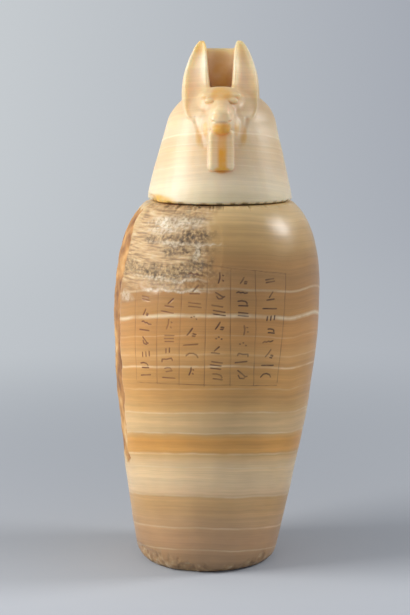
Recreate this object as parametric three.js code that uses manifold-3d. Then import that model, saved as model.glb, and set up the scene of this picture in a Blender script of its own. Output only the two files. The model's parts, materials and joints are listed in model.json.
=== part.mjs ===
// Canopic jar of banded calcite (Egyptian alabaster) with a jackal-headed lid.
//
// Two carved pieces. The jar is a hollow vessel, turned and finished by hand, so its axis leans: the
// foot stands to the left of the mouth. The lid is one block: a bell-shaped wig with the jackal's
// head, hollow ears and chin strut carved on it, and under it a plug that drops into the mouth.
//
// Frame: millimetres, +Z up. The face and the inscribed panel look along -Y, the viewer's left is -X.
// The origin is on the ground, under the middle of the jar's belly.
import * as THREE from 'three';
import { LoftGeometry } from 'three/addons/geometries/LoftGeometry.js';
import { mergeVertices } from 'three/addons/utils/BufferGeometryUtils.js';
import Module from 'manifold-3d';

const wasm = await Module();
wasm.setup();

// ---------------------------------------------------------------- driving dimensions

const REST_GAP = 0.3; // left between the lid and the rim that it rests on

const JAR = {
  height: 279.7,
  footRadius: 47.5, // flat underside
  heelRadius: 55.1,
  heelZ: 9.5,
  bellyRadius: 79.6,
  bellyZ: 199,
  rimRadius: 56.2,
  rimBevel: 0.9,
  mouthRadius: 40,
  throatDepth: 15, // straight part that takes the plug
  wall: 13.5,
  floor: 18,
  axisX: 2, // the axis at the rim, right of the origin
  lean: 9.8, // how far the foot stands to the left of the rim
  segments: 56,
  cavitySegments: 40,
};

const LID = {
  skirtRadius: 55.4,
  skirtBevel: 1.2,
  shoulderRadius: 41.2, // where the sloping wig turns into the crown of the head
  shoulderZ: 59.5,
  crownZ: 86,
  plugRadius: 38.4,
  plugDepth: 13,
  x: 2.6, // the lid's axis, right of the origin
  crownLean: 2.4, // how far the crown leans to the right of that axis
  headX: 0.5, // the head's middle plane, right of that axis
  segments: 52,
};

// Stone lost from the jar's outside, as shallow dishes: azimuth from the front, positive to the
// viewer's right (degrees), height, half sizes (degrees and mm) and greatest depth.
const LOSSES = [
  { azimuth: -84, z: 178, halfAngle: 19, halfHeight: 104, depth: 0.8 }, // long flake, left side
  { azimuth: -34, z: 250, halfAngle: 36, halfHeight: 30, depth: 1 }, // eaten shoulder
  { azimuth: -16, z: 1, halfAngle: 9, halfHeight: 7, depth: 1.6 }, // chip under the heel
  { azimuth: -62, z: 3, halfAngle: 26, halfHeight: 12, depth: 1.5 }, // worn heel
];

// The right ear from its lobe to its tip, by height above the lid's underside.
const EAR = [
  { z: 60.5, x: 20.3, halfWidth: 2, front: -35.6, back: -24 },
  { z: 63, x: 20.2, halfWidth: 5, front: -36.2, back: -16 },
  { z: 69, x: 20, halfWidth: 8.4, front: -32, back: 0 },
  { z: 77, x: 19.4, halfWidth: 9.9, front: -23.6, back: 9 },
  { z: 86, x: 18.6, halfWidth: 10.4, front: -17, back: 11 },
  { z: 95, x: 18.3, halfWidth: 9.4, front: -12.6, back: 10.5 },
  { z: 104, x: 17.2, halfWidth: 7.7, front: -9.4, back: 9.5 },
  { z: 112, x: 15.8, halfWidth: 5.6, front: -7, back: 8 },
  { z: 117, x: 14.8, halfWidth: 3.7, front: -5.6, back: 6 },
  { z: 119.8, x: 14.2, halfWidth: 1.7, front: -3.6, back: 3 },
];
const EAR_RIM = 1.5; // width of the raised edge around the hollow
const EAR_HOLLOW = 3.4; // depth of the hollow

// The snout from the face to the tip of the nose: y, middle height, half width, half height.
const SNOUT = [
  { y: -20, z: 68, halfWidth: 11.5, halfHeight: 14 },
  { y: -35, z: 66.5, halfWidth: 10.6, halfHeight: 12.6 },
  { y: -43, z: 64, halfWidth: 9.5, halfHeight: 11.8 },
  { y: -51, z: 62.4, halfWidth: 8.7, halfHeight: 10.4 },
  { y: -56.5, z: 62, halfWidth: 7.9, halfHeight: 9.4 },
  { y: -59.6, z: 62, halfWidth: 5.8, halfHeight: 6.8 },
  { y: -60.8, z: 62, halfWidth: 2.6, halfHeight: 3.2 },
];
const BRIDGE = 0.34; // share by which the snout is narrower on top, and wider at the jaw

// The throat under the jaw, tapering down onto the wig: height, half width, y of its front.
const THROAT = [
  { z: 42, halfWidth: 10.6, front: -45.6 },
  { z: 48, halfWidth: 12.6, front: -47 },
  { z: 57, halfWidth: 14.6, front: -46.4 },
  { z: 66, halfWidth: 14, front: -38 },
];

const STRUT = { halfWidth: 9.3, top: 56, bottom: 25, front: -54.6, corner: 3 };

// The stone left standing between the ears, and the pocket in front of it.
const WEB = { halfWidth: 13, top: 114.3, front: 2, back: 10.5 };
const POCKET = { floor: 82.5, floorHalf: 7.2, topHalf: 10.9, front: -18.5 };

// ---------------------------------------------------------------- helpers

const vec2 = (x, y) => new THREE.Vector2(x, y);
const vec3 = (x, y, z) => new THREE.Vector3(x, y, z);

/** A closed three.js geometry as a manifold solid: welded, free of empty faces, facing outward. */
function solid(geometry) {
  const bare = new THREE.BufferGeometry();
  const corners = geometry.getAttribute('position');
  bare.setAttribute('position', corners.clone());
  bare.setIndex(geometry.index?.clone() ?? Array.from({ length: corners.count }, (_, i) => i));
  const welded = mergeVertices(bare, 1e-4);
  const points = welded.getAttribute('position').array;
  const faces = [];
  for (let i = 0; i < welded.index.count; i += 3) {
    const face = [0, 1, 2].map((k) => welded.index.getX(i + k));
    if (new Set(face).size === 3) faces.push(face);
  }
  const [a, b, c] = [vec3(), vec3(), vec3()];
  const volume = faces.reduce((sum, [i, j, k]) => {
    a.fromArray(points, 3 * i);
    b.fromArray(points, 3 * j);
    c.fromArray(points, 3 * k);
    return sum + a.dot(b.cross(c));
  }, 0);
  const outward = volume > 0 ? faces : faces.map(([i, j, k]) => [i, k, j]);
  return new wasm.Manifold(
    new wasm.Mesh({
      numProp: 3,
      vertProperties: new Float32Array(points),
      triVerts: new Uint32Array(outward.flat()),
    }),
  );
}

/** A manifold solid as a flat-shaded three.js geometry. */
function geometryOf(body) {
  const { vertProperties, triVerts } = body.getMesh();
  const indexed = new THREE.BufferGeometry();
  indexed.setAttribute('position', new THREE.BufferAttribute(vertProperties, 3));
  indexed.setIndex(new THREE.BufferAttribute(triVerts, 1));
  const flat = indexed.toNonIndexed();
  flat.computeVertexNormals();
  return flat;
}

/** A profile of (radius, height) points turned about Z. */
const turned = (points, segments) =>
  new THREE.LatheGeometry(points, segments).rotateX(Math.PI / 2);

/** Shifts each point of a geometry along X by shiftX(its height). */
function leant(geometry, shiftX) {
  const at = geometry.getAttribute('position');
  for (let i = 0; i < at.count; i++) at.setX(i, at.getX(i) + shiftX(at.getZ(i)));
  return geometry;
}

/** Points of a smooth curve without its first one, to follow the point that a profile ends with. */
const onward = (steps, ...controls) =>
  new THREE.CubicBezierCurve(...controls).getPoints(steps).slice(1);

/** The closed outline of a superellipse with half sizes (a, b); power 2 is an ellipse. */
function oval(a, b, power, count) {
  const bulge = (v) => Math.sign(v) * Math.abs(v) ** (2 / power);
  return Array.from({ length: count }, (_, i) => {
    const turn = (2 * Math.PI * i) / count;
    return vec2(a * bulge(Math.cos(turn)), b * bulge(Math.sin(turn)));
  });
}

/** A skin over level ovals, each {z, x, halfWidth, front, back}. */
function loftUp(sections, count = 16, power = 2.2) {
  const rings = sections.map(({ z, x, halfWidth, front, back }) =>
    oval(halfWidth, (back - front) / 2, power, count).map((p) =>
      vec3(x + p.x, (front + back) / 2 + p.y, z),
    ),
  );
  return solid(new LoftGeometry(rings, { capStart: true, capEnd: true }));
}

/** A skin over upright ovals facing the front, each {y, z, halfWidth, halfHeight}, narrower on top. */
function loftForward(sections, taper, count = 20, power = 2.3) {
  const rings = sections.map(({ y, z, halfWidth, halfHeight }) =>
    oval(halfWidth, halfHeight, power, count).map((p) =>
      vec3(p.x * (1 - (taper * p.y) / halfHeight), y, z + p.y),
    ),
  );
  return solid(new LoftGeometry(rings, { capStart: true, capEnd: true }));
}

/** An ellipsoid with half sizes `half` about `at`. */
const ellipsoid = (at, half, around = 18, down = 12) =>
  solid(new THREE.SphereGeometry(1, around, down).scale(...half).translate(...at));

/** A cutter for stone lost along the lid's lower edge: an ellipsoid laid along the edge. */
const edgeChip = (azimuth, halfLength, height, depth) =>
  solid(
    new THREE.SphereGeometry(1, 20, 10)
      .scale(halfLength, depth, height)
      .translate(0, -LID.skirtRadius, 0)
      .rotateZ(THREE.MathUtils.degToRad(azimuth)),
  );

/** An upright plate: an outline of [x, z] corners, run from y `front` to y `back`. */
function plate(outline, front, back, bevel = 0) {
  const shape = new THREE.Shape(outline.map(([x, z]) => vec2(x, z)));
  const geometry = new THREE.ExtrudeGeometry(shape, {
    depth: back - front - 2 * bevel,
    bevelEnabled: bevel > 0,
    bevelSegments: 2,
    bevelSize: bevel,
    bevelOffset: -bevel,
    bevelThickness: bevel,
  });
  return solid(geometry.rotateX(Math.PI / 2).translate(0, back - bevel, 0));
}

/** A groove cutter: a thin bar of square section, half size `half`, along a smooth line. */
function groove(points, half, steps = 10) {
  const section = new THREE.Shape([vec2(half, 0), vec2(0, half), vec2(-half, 0), vec2(0, -half)]);
  const extrudePath = new THREE.CatmullRomCurve3(points.map((p) => vec3(...p)));
  return solid(new THREE.ExtrudeGeometry(section, { extrudePath, steps, bevelEnabled: false }));
}

const bothSides = (body) => [body, body.mirror([1, 0, 0])];
const joined = (bodies) => bodies.reduce((sum, body) => sum.add(body));
const cut = (body, cutters) => cutters.reduce((rest, cutter) => rest.subtract(cutter), body);

// ---------------------------------------------------------------- jar

/** X of the jar's axis at height z. */
const axisX = (z) => JAR.axisX - JAR.lean * Math.max(0, 1 - z / JAR.height) ** 1.2;

/** How deep stone is lost at an azimuth from the front (degrees) and a height. */
function lossAt(azimuth, z) {
  const depths = LOSSES.map((loss) => {
    const u = (azimuth - loss.azimuth) / loss.halfAngle;
    const v = (z - loss.z) / loss.halfHeight;
    return loss.depth * Math.sqrt(Math.max(0, 1 - u * u - v * v * v * v));
  });
  return Math.max(...depths);
}

/** Moves the rim-side points of a turned geometry inward where stone is lost. */
function worn(geometry) {
  const at = geometry.getAttribute('position');
  for (let i = 0; i < at.count; i++) {
    const [x, y, z] = [at.getX(i), at.getY(i), at.getZ(i)];
    const radius = Math.hypot(x, y);
    if (radius < JAR.mouthRadius) continue;
    const azimuth = THREE.MathUtils.radToDeg(Math.atan2(x, -y));
    const share = 1 - lossAt(azimuth, z) / radius;
    at.setXY(i, x * share, y * share);
  }
  return geometry;
}

function jarOutside() {
  const { footRadius, heelRadius, heelZ, bellyRadius, bellyZ, rimRadius, rimBevel, height } = JAR;
  const heel = new THREE.QuadraticBezierCurve(
    vec2(footRadius, 0),
    vec2(heelRadius - 1.5, 1),
    vec2(heelRadius, heelZ),
  );
  const heelEnd = vec2(heelRadius, heelZ);
  const belly = vec2(bellyRadius, bellyZ);
  const rim = vec2(rimRadius, height - rimBevel);
  return [
    vec2(0, 0),
    ...heel.getPoints(4),
    ...onward(12, heelEnd, vec2(heelRadius + 9.2, heelZ + 53), vec2(bellyRadius, bellyZ - 66), belly),
    ...onward(12, belly, vec2(bellyRadius, bellyZ + 38), vec2(rimRadius + 18, height - 16), rim),
    vec2(rimRadius - rimBevel, height),
    vec2(0, height),
  ];
}

function jarCavity() {
  const { floor, wall, heelRadius, bellyRadius, bellyZ, mouthRadius, height } = JAR;
  const above = 5; // the cutter stands proud of the rim
  const floorRadius = heelRadius - wall - 1;
  const bellyInside = bellyRadius - wall;
  const corner = vec2(floorRadius, floor + 9);
  const belly = vec2(bellyInside, bellyZ);
  const throat = vec2(mouthRadius, height - JAR.throatDepth);
  return [
    vec2(0, floor),
    vec2(floorRadius - 8, floor),
    corner,
    ...onward(6, corner, vec2(floorRadius + 9, floor + 50), vec2(bellyInside, bellyZ - 66), belly),
    ...onward(6, belly, vec2(bellyInside, bellyZ + 32), vec2(mouthRadius + 20, throat.y - 4), throat),
    vec2(mouthRadius, height + above),
    vec2(0, height + above),
  ];
}

function makeJar() {
  const outside = solid(leant(worn(turned(jarOutside(), JAR.segments)), axisX));
  const cavity = solid(leant(turned(jarCavity(), JAR.cavitySegments), axisX));
  return outside.subtract(cavity);
}

// ---------------------------------------------------------------- lid

/** The wig, a bell that closes over the crown, with the plug under it. */
function wig() {
  const { skirtRadius, skirtBevel, shoulderRadius, shoulderZ, crownZ, plugRadius, plugDepth } = LID;
  const skirt = vec2(skirtRadius, skirtBevel);
  const shoulder = vec2(shoulderRadius, shoulderZ);
  const profile = [
    vec2(0, -plugDepth),
    vec2(plugRadius - 1.5, -plugDepth),
    vec2(plugRadius, 1.5 - plugDepth),
    vec2(plugRadius, 0),
    vec2(skirtRadius - skirtBevel, 0),
    skirt,
    ...onward(6, skirt, vec2(skirtRadius - 3.4, 20), vec2(shoulderRadius + 3.2, shoulderZ - 13), shoulder),
    ...onward(7, shoulder, vec2(shoulderRadius - 3, shoulderZ + 12), vec2(23, crownZ), vec2(0, crownZ)),
  ];
  const crownShift = (z) => LID.crownLean * (Math.max(0, z) / crownZ) ** 2;
  return solid(leant(turned(profile, LID.segments), crownShift));
}

/** The right ear as a full leaf-shaped mass. */
const earMass = () => loftUp(EAR);

/** What is cut from the right ear's front: the same leaf, narrower, moved forward. */
function earHollow() {
  const inner = EAR.filter(({ halfWidth }) => halfWidth > EAR_RIM + 0.5).map(
    ({ z, x, halfWidth, front }) => ({
      z: z + EAR_RIM * 0.4,
      x,
      halfWidth: halfWidth - EAR_RIM,
      front: front - EAR_HOLLOW,
      back: front + EAR_HOLLOW * Math.min(1, (halfWidth - EAR_RIM) / 6),
    }),
  );
  return loftUp(inner, 14, 2);
}

/** The stone between the ears, its sides buried in them. */
function web() {
  const { halfWidth, top, front, back } = WEB;
  const foot = LID.crownZ - 12;
  const outline = [
    [-halfWidth, foot],
    [halfWidth, foot],
    [halfWidth, top],
    [-halfWidth, top],
  ];
  return plate(outline, front, back);
}

/** The pocket between the ears, in front of the web, open at the top and dropping to the back. */
function pocket() {
  const { floor, floorHalf, topHalf, front } = POCKET;
  const outline = [
    [-floorHalf, floor],
    [floorHalf, floor],
    [topHalf, LID.crownZ + 30],
    [-topHalf, LID.crownZ + 30],
  ];
  return plate(outline, front, WEB.front);
}

/** The rounded post that joins the chin to the wig. */
function strut() {
  const { halfWidth, top, bottom, front, corner } = STRUT;
  const outline = [
    [-halfWidth, top],
    [-halfWidth, bottom + corner],
    [corner - halfWidth, bottom],
    [halfWidth - corner, bottom],
    [halfWidth, bottom + corner],
    [halfWidth, top],
  ];
  return plate(outline, front, -36, 1.6);
}

/** Skull, brow, eyes, snout, nose and throat, about the head's middle plane. */
function face() {
  const throat = THROAT.map((section) => ({ ...section, x: 0, back: -24 }));
  return [
    ellipsoid([0, -20, 71], [18.8, 17.5, 15.4], 22, 14),
    loftForward(SNOUT, BRIDGE),
    ellipsoid([0, -57.6, 66.6], [5, 3.4, 2.6], 12, 8),
    loftUp(throat, 16, 3),
    strut(),
    ...bothSides(ellipsoid([9.6, -32.8, 75.6], [4.8, 3.6, 2.5], 12, 8)),
    ...bothSides(ellipsoid([9, -31, 80], [6.6, 3.6, 2.2], 12, 8)),
  ];
}

/** Grooves and losses of the head: the mouth line and the wig's edge beside the throat. */
function headCuts() {
  const mouth = [
    [-9.6, -47, 63],
    [-8.1, -54.6, 61.8],
    [-5.2, -59.4, 61],
    [0, -61.2, 60.6],
    [5.2, -59.4, 61],
    [8.1, -54.6, 61.8],
    [9.6, -47, 63],
  ];
  const wigEdge = [
    [19, -35.6, 62],
    [16, -40.2, 52],
    [13.4, -43.6, 42],
  ];
  return [groove(mouth, 0.9, 14), ...bothSides(groove(wigEdge, 1.2))];
}

/** The lid, its underside at height 0 and its axis at x 0. */
function makeLid() {
  const centred = joined([...bothSides(earMass()), web()]);
  const hollowed = cut(centred, bothSides(earHollow()));
  const head = joined([hollowed, ...face()]).translate([LID.headX, 0, 0]);
  const cuts = [pocket(), ...headCuts()].map((cutter) => cutter.translate([LID.headX, 0, 0]));
  return cut(wig().add(head), [...cuts, edgeChip(-76, 26, 5.5, 4)]);
}

// ---------------------------------------------------------------- scene graph

const canopicJar = new THREE.Group();

const jar = new THREE.Mesh(
  geometryOf(makeJar()),
  new THREE.MeshStandardMaterial({ color: '#c79a63', roughness: 0.38, metalness: 0 }),
);
jar.name = 'jar';

const lid = new THREE.Mesh(
  geometryOf(makeLid()),
  new THREE.MeshStandardMaterial({ color: '#dcbf90', roughness: 0.36, metalness: 0 }),
);
lid.name = 'lid';
lid.position.set(LID.x, 0, JAR.height + REST_GAP);

canopicJar.add(jar, lid);

export default canopicJar;
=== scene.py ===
"""A canopic jar of banded calcite with a jackal-headed lid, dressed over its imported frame.

The frame gives two solids: the hollow jar, and the lid that rests on its mouth. Each is replaced here
by one closed skin of the same form with the finer carving, wear and veining of the stone. Sizes are
millimetres in the same axes as the solids (the face looks along -Y), and become metres in the mesh.
"""
import json
import logging
import math
from collections.abc import Callable, Sequence
from dataclasses import dataclass, field
from enum import Enum

import bpy
import numpy as np
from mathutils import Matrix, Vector

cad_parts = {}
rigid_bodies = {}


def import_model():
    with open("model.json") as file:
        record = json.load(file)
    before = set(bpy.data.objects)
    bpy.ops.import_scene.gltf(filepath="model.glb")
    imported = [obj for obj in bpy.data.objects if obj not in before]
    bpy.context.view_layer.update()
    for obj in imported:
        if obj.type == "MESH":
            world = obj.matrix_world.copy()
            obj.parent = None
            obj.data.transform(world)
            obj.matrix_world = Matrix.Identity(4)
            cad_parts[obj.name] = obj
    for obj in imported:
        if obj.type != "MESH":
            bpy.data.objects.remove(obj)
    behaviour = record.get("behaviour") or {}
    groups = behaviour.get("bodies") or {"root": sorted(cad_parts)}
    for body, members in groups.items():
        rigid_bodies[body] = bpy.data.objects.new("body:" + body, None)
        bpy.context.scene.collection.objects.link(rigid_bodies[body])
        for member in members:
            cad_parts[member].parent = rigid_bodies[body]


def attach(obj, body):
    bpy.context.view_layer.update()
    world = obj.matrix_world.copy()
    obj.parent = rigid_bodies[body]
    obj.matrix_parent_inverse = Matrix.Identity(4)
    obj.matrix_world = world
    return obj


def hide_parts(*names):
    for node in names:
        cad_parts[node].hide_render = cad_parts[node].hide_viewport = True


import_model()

LOG = logging.getLogger("canopic_jar")
MM = 0.001
REST_GAP = 0.3  # left between the lid and the rim that it rests on
STRATA_TILT = (0.009, 0.20, 1.0)  # the stone's layers climb a little towards the front

Array = np.ndarray
Shape = Callable[[Array, Array, Array], Array]
Value = float | str | tuple | bpy.types.NodeSocket


# ---------------------------------------------------------------- shared tools


def linear(code: str) -> tuple[float, float, float, float]:
    """Turns an sRGB colour into a linear one.

    Args:
        code: The colour as hex, such as "#c79a63".

    Returns:
        Linear red, green, blue and an alpha of 1.
    """
    channels = [int(code[i : i + 2], 16) / 255 for i in (1, 3, 5)]
    bent = [c / 12.92 if c <= 0.04045 else ((c + 0.055) / 1.055) ** 2.4 for c in channels]
    return (bent[0], bent[1], bent[2], 1.0)


def add(
    tree: bpy.types.NodeTree, kind: str, settings: dict | None = None, inputs: dict | None = None
) -> "bpy.types.NodeOutputs":
    """Adds one node to a tree.

    Args:
        tree: The shader or geometry tree.
        kind: The node's type name.
        settings: Properties of the node; "stops" fills its colour ramp with (place, hex) pairs.
        inputs: By socket name or index: a socket to link from, or a constant.

    Returns:
        The node's output sockets.
    """
    node = tree.nodes.new(kind)
    for name, value in (settings or {}).items():
        if name != "stops":
            setattr(node, name, value)
            continue
        elements = node.color_ramp.elements
        elements.remove(elements[1])
        elements[0].position = value[0][0]
        elements[0].color = linear(value[0][1])
        for place, code in value[1:]:
            elements.new(place).color = linear(code)
    for key, value in (inputs or {}).items():
        if isinstance(value, bpy.types.NodeSocket):
            tree.links.new(value, node.inputs[key])
        else:
            node.inputs[key].default_value = value
    return node.outputs


def mesh_object(name: str, points: Array, faces: Sequence, smooth: bool = True) -> bpy.types.Object:
    """Makes a mesh object in the scene, at the origin.

    Args:
        name: Name of the object and its mesh.
        points: Corners in millimetres, one row each.
        faces: Corner numbers of each face, counter-clockwise from outside.
        smooth: Whether its faces are shaded smooth.

    Returns:
        The new object.
    """
    mesh = bpy.data.meshes.new(name)
    mesh.from_pydata((points * MM).tolist(), [], faces)
    mesh.polygons.foreach_set("use_smooth", np.full(len(mesh.polygons), smooth))
    mesh.update()
    made = bpy.data.objects.new(name, mesh)
    bpy.context.scene.collection.objects.link(made)
    return made


def set_values(made: bpy.types.Object, name: str, values: Array) -> None:
    """Stores one number, or one vector, per corner of a mesh object.

    Args:
        made: The mesh object.
        name: Name of the attribute.
        values: One row for each corner.
    """
    kind = "FLOAT" if values.ndim == 1 else "FLOAT_VECTOR"
    attribute = made.data.attributes.new(name, kind, "POINT")
    attribute.data.foreach_set("value" if values.ndim == 1 else "vector", values.ravel().astype(np.float32))


def bezier(start: tuple, pull_out: tuple, pull_in: tuple, end: tuple, steps: int) -> list[tuple]:
    """Points along a cubic curve.

    Args:
        start: Its first point.
        pull_out: The point that it leaves the first one towards.
        pull_in: The point that it comes to the last one from.
        end: Its last point.
        steps: How many points are given.

    Returns:
        The points, without the first one.
    """
    t = np.linspace(0, 1, steps + 1)[1:, None]
    a, b, c, d = (np.array(p, float) for p in (start, pull_out, pull_in, end))
    curve = a * (1 - t) ** 3 + 3 * b * t * (1 - t) ** 2 + 3 * c * t * t * (1 - t) + d * t**3
    return [tuple(p) for p in curve]


def soft_step(low: float, high: float, value: Array) -> Array:
    """0 below low, 1 above high, and a smooth turn between them; low may be the greater."""
    t = np.clip((value - low) / (high - low), 0, 1)
    return t * t * (3 - 2 * t)


def wander(places: Sequence[Array], length: float, seed: int, waves: int = 7) -> Array:
    """A smooth uneven value between about -1 and 1.

    Args:
        places: One array for each direction, in millimetres.
        length: Typical distance between two humps.
        seed: Which unevenness.
        waves: How many waves are laid over each other.

    Returns:
        The value at each place.
    """
    dice = np.random.default_rng(seed)
    total = 0.0
    for _ in range(waves):
        way = dice.normal(size=len(places))
        way *= dice.uniform(0.7, 1.5) * 2 * math.pi / (length * np.linalg.norm(way) * 1.6)
        phase = sum(w * p for w, p in zip(way, places)) + dice.uniform(0, 2 * math.pi)
        total = total + np.sin(phase)
    return total / math.sqrt(waves) * 0.9


# ---------------------------------------------------------------- carving by distances


EMPTY = 50.0  # distance held where nothing is carved yet, mm


def smooth_min(a: Array, b: Array, blend: float) -> Array:
    """The smaller of two distances, rounded where they meet.

    Args:
        a: One distance.
        b: The other.
        blend: Over how many millimetres the crease is rounded.

    Returns:
        The joined distance.
    """
    if blend <= 0:
        return np.minimum(a, b)
    near = np.maximum(blend - np.abs(a - b), 0) / blend
    return np.minimum(a, b) - near * near * blend * 0.25


def ellipsoid(at: tuple, half: tuple) -> Shape:
    """An ellipsoid.

    Args:
        at: Its middle.
        half: Its three half sizes.

    Returns:
        The shape.
    """

    def distance(x: Array, y: Array, z: Array) -> Array:
        """Distance outside the ellipsoid.

        Args:
            x: Places across.
            y: Places front to back.
            z: Heights.

        Returns:
            The distances, negative inside.
        """
        p = [(q - c) / h for q, c, h in zip((x, y, z), at, half)]
        unit = np.sqrt(p[0] ** 2 + p[1] ** 2 + p[2] ** 2) + 1e-6
        slope = np.sqrt((p[0] / half[0]) ** 2 + (p[1] / half[1]) ** 2 + (p[2] / half[2]) ** 2) + 1e-6
        return unit * (unit - 1) / slope

    return distance


def block(low: tuple, high: tuple, rounding: float) -> Shape:
    """A box with rounded edges.

    Args:
        low: Its lowest corner.
        high: Its highest corner.
        rounding: Radius of its edges.

    Returns:
        The shape.
    """
    middle = [(a + b) / 2 for a, b in zip(low, high)]
    half = [(b - a) / 2 - rounding for a, b in zip(low, high)]

    def distance(x: Array, y: Array, z: Array) -> Array:
        """Distance outside the box.

        Args:
            x: Places across.
            y: Places front to back.
            z: Heights.

        Returns:
            The distances, negative inside.
        """
        q = [np.abs(p - c) - h for p, c, h in zip((x, y, z), middle, half)]
        outside = np.sqrt(sum(np.maximum(p, 0) ** 2 for p in q))
        return outside + np.minimum(np.maximum(np.maximum(q[0], q[1]), q[2]), 0) - rounding

    return distance


def cord_of(points: Sequence[tuple], radius: float, steps: int = 8) -> Shape:
    """A round bar along a smooth line.

    Args:
        points: What the line passes through.
        radius: Half the bar's thickness.
        steps: Straight lengths between two points.

    Returns:
        The shape.
    """
    p = np.array([points[0], *points, points[-1]], float)
    path = []
    for a, b, c, d in zip(p, p[1:], p[2:], p[3:]):
        for t in np.linspace(0, 1, steps, endpoint=False):
            curve = (2 * a - 5 * b + 4 * c - d) * t**2 + (3 * b - a - 3 * c + d) * t**3
            path.append(0.5 * (2 * b + (c - a) * t + curve))
    path.append(p[-1])

    def distance(x: Array, y: Array, z: Array) -> Array:
        """Distance outside the bar.

        Args:
            x: Places across.
            y: Places front to back.
            z: Heights.

        Returns:
            The distances, negative inside.
        """
        nearest = np.full(np.broadcast(x, y, z).shape, 1e6, np.float32)
        for start, end in zip(path, path[1:]):
            run = end - start
            offset = (x - start[0], y - start[1], z - start[2])
            along = sum(o * r for o, r in zip(offset, run)) / (run @ run + 1e-9)
            along = np.clip(along, 0, 1)
            gap = sum((o - along * r) ** 2 for o, r in zip(offset, run))
            nearest = np.minimum(nearest, gap)
        return np.sqrt(nearest) - radius

    return distance


def turned(profile: Sequence[tuple], shift: Callable[[Array], Array]) -> Shape:
    """A closed profile turned about Z.

    Args:
        profile: Its (radius, height) points.
        shift: How far the axis stands off along X at a height.

    Returns:
        The shape.
    """
    step, below, beyond = 0.25, 8, 12  # of the table of distances, and how far it passes the profile
    ring = np.array([*profile, (0, profile[-1][1]), (0, profile[0][1])], float)
    radii = np.arange(0, ring[:, 0].max() + beyond, step)
    heights = np.arange(ring[:, 1].min() - below, ring[:, 1].max() + beyond, step)
    r, h = np.meshgrid(radii, heights, indexing="ij")
    gap = np.full(r.shape, 1e9)
    inside = np.zeros(r.shape, bool)
    for i, (a, b) in enumerate(zip(ring, np.roll(ring, -1, axis=0))):
        rises = ((a[1] > h) != (b[1] > h)) & (r < a[0] + (b[0] - a[0]) * (h - a[1]) / (b[1] - a[1] + 1e-12))
        inside ^= rises
        if i < len(ring) - 2 or a[0] > 0:
            run = b - a
            t = np.clip(((r - a[0]) * run[0] + (h - a[1]) * run[1]) / (run @ run + 1e-12), 0, 1)
            gap = np.minimum(gap, (r - a[0] - t * run[0]) ** 2 + (h - a[1] - t * run[1]) ** 2)
    table = np.where(inside, -np.sqrt(gap), np.sqrt(gap)).astype(np.float32)

    def distance(x: Array, y: Array, z: Array) -> Array:
        """Distance outside the turned body.

        Args:
            x: Places across.
            y: Places front to back.
            z: Heights.

        Returns:
            The distances, negative inside.
        """
        i = np.clip(np.hypot(x - shift(z), y) / step, 0, len(radii) - 1.001)
        j = np.broadcast_to(np.clip((z - heights[0]) / step, 0, len(heights) - 1.001), i.shape)
        i0, j0 = i.astype(int), j.astype(int)
        u, v = i - i0, j - j0
        low = table[i0, j0] * (1 - u) + table[i0 + 1, j0] * u
        high = table[i0, j0 + 1] * (1 - u) + table[i0 + 1, j0 + 1] * u
        return low * (1 - v) + high * v

    return distance


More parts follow.
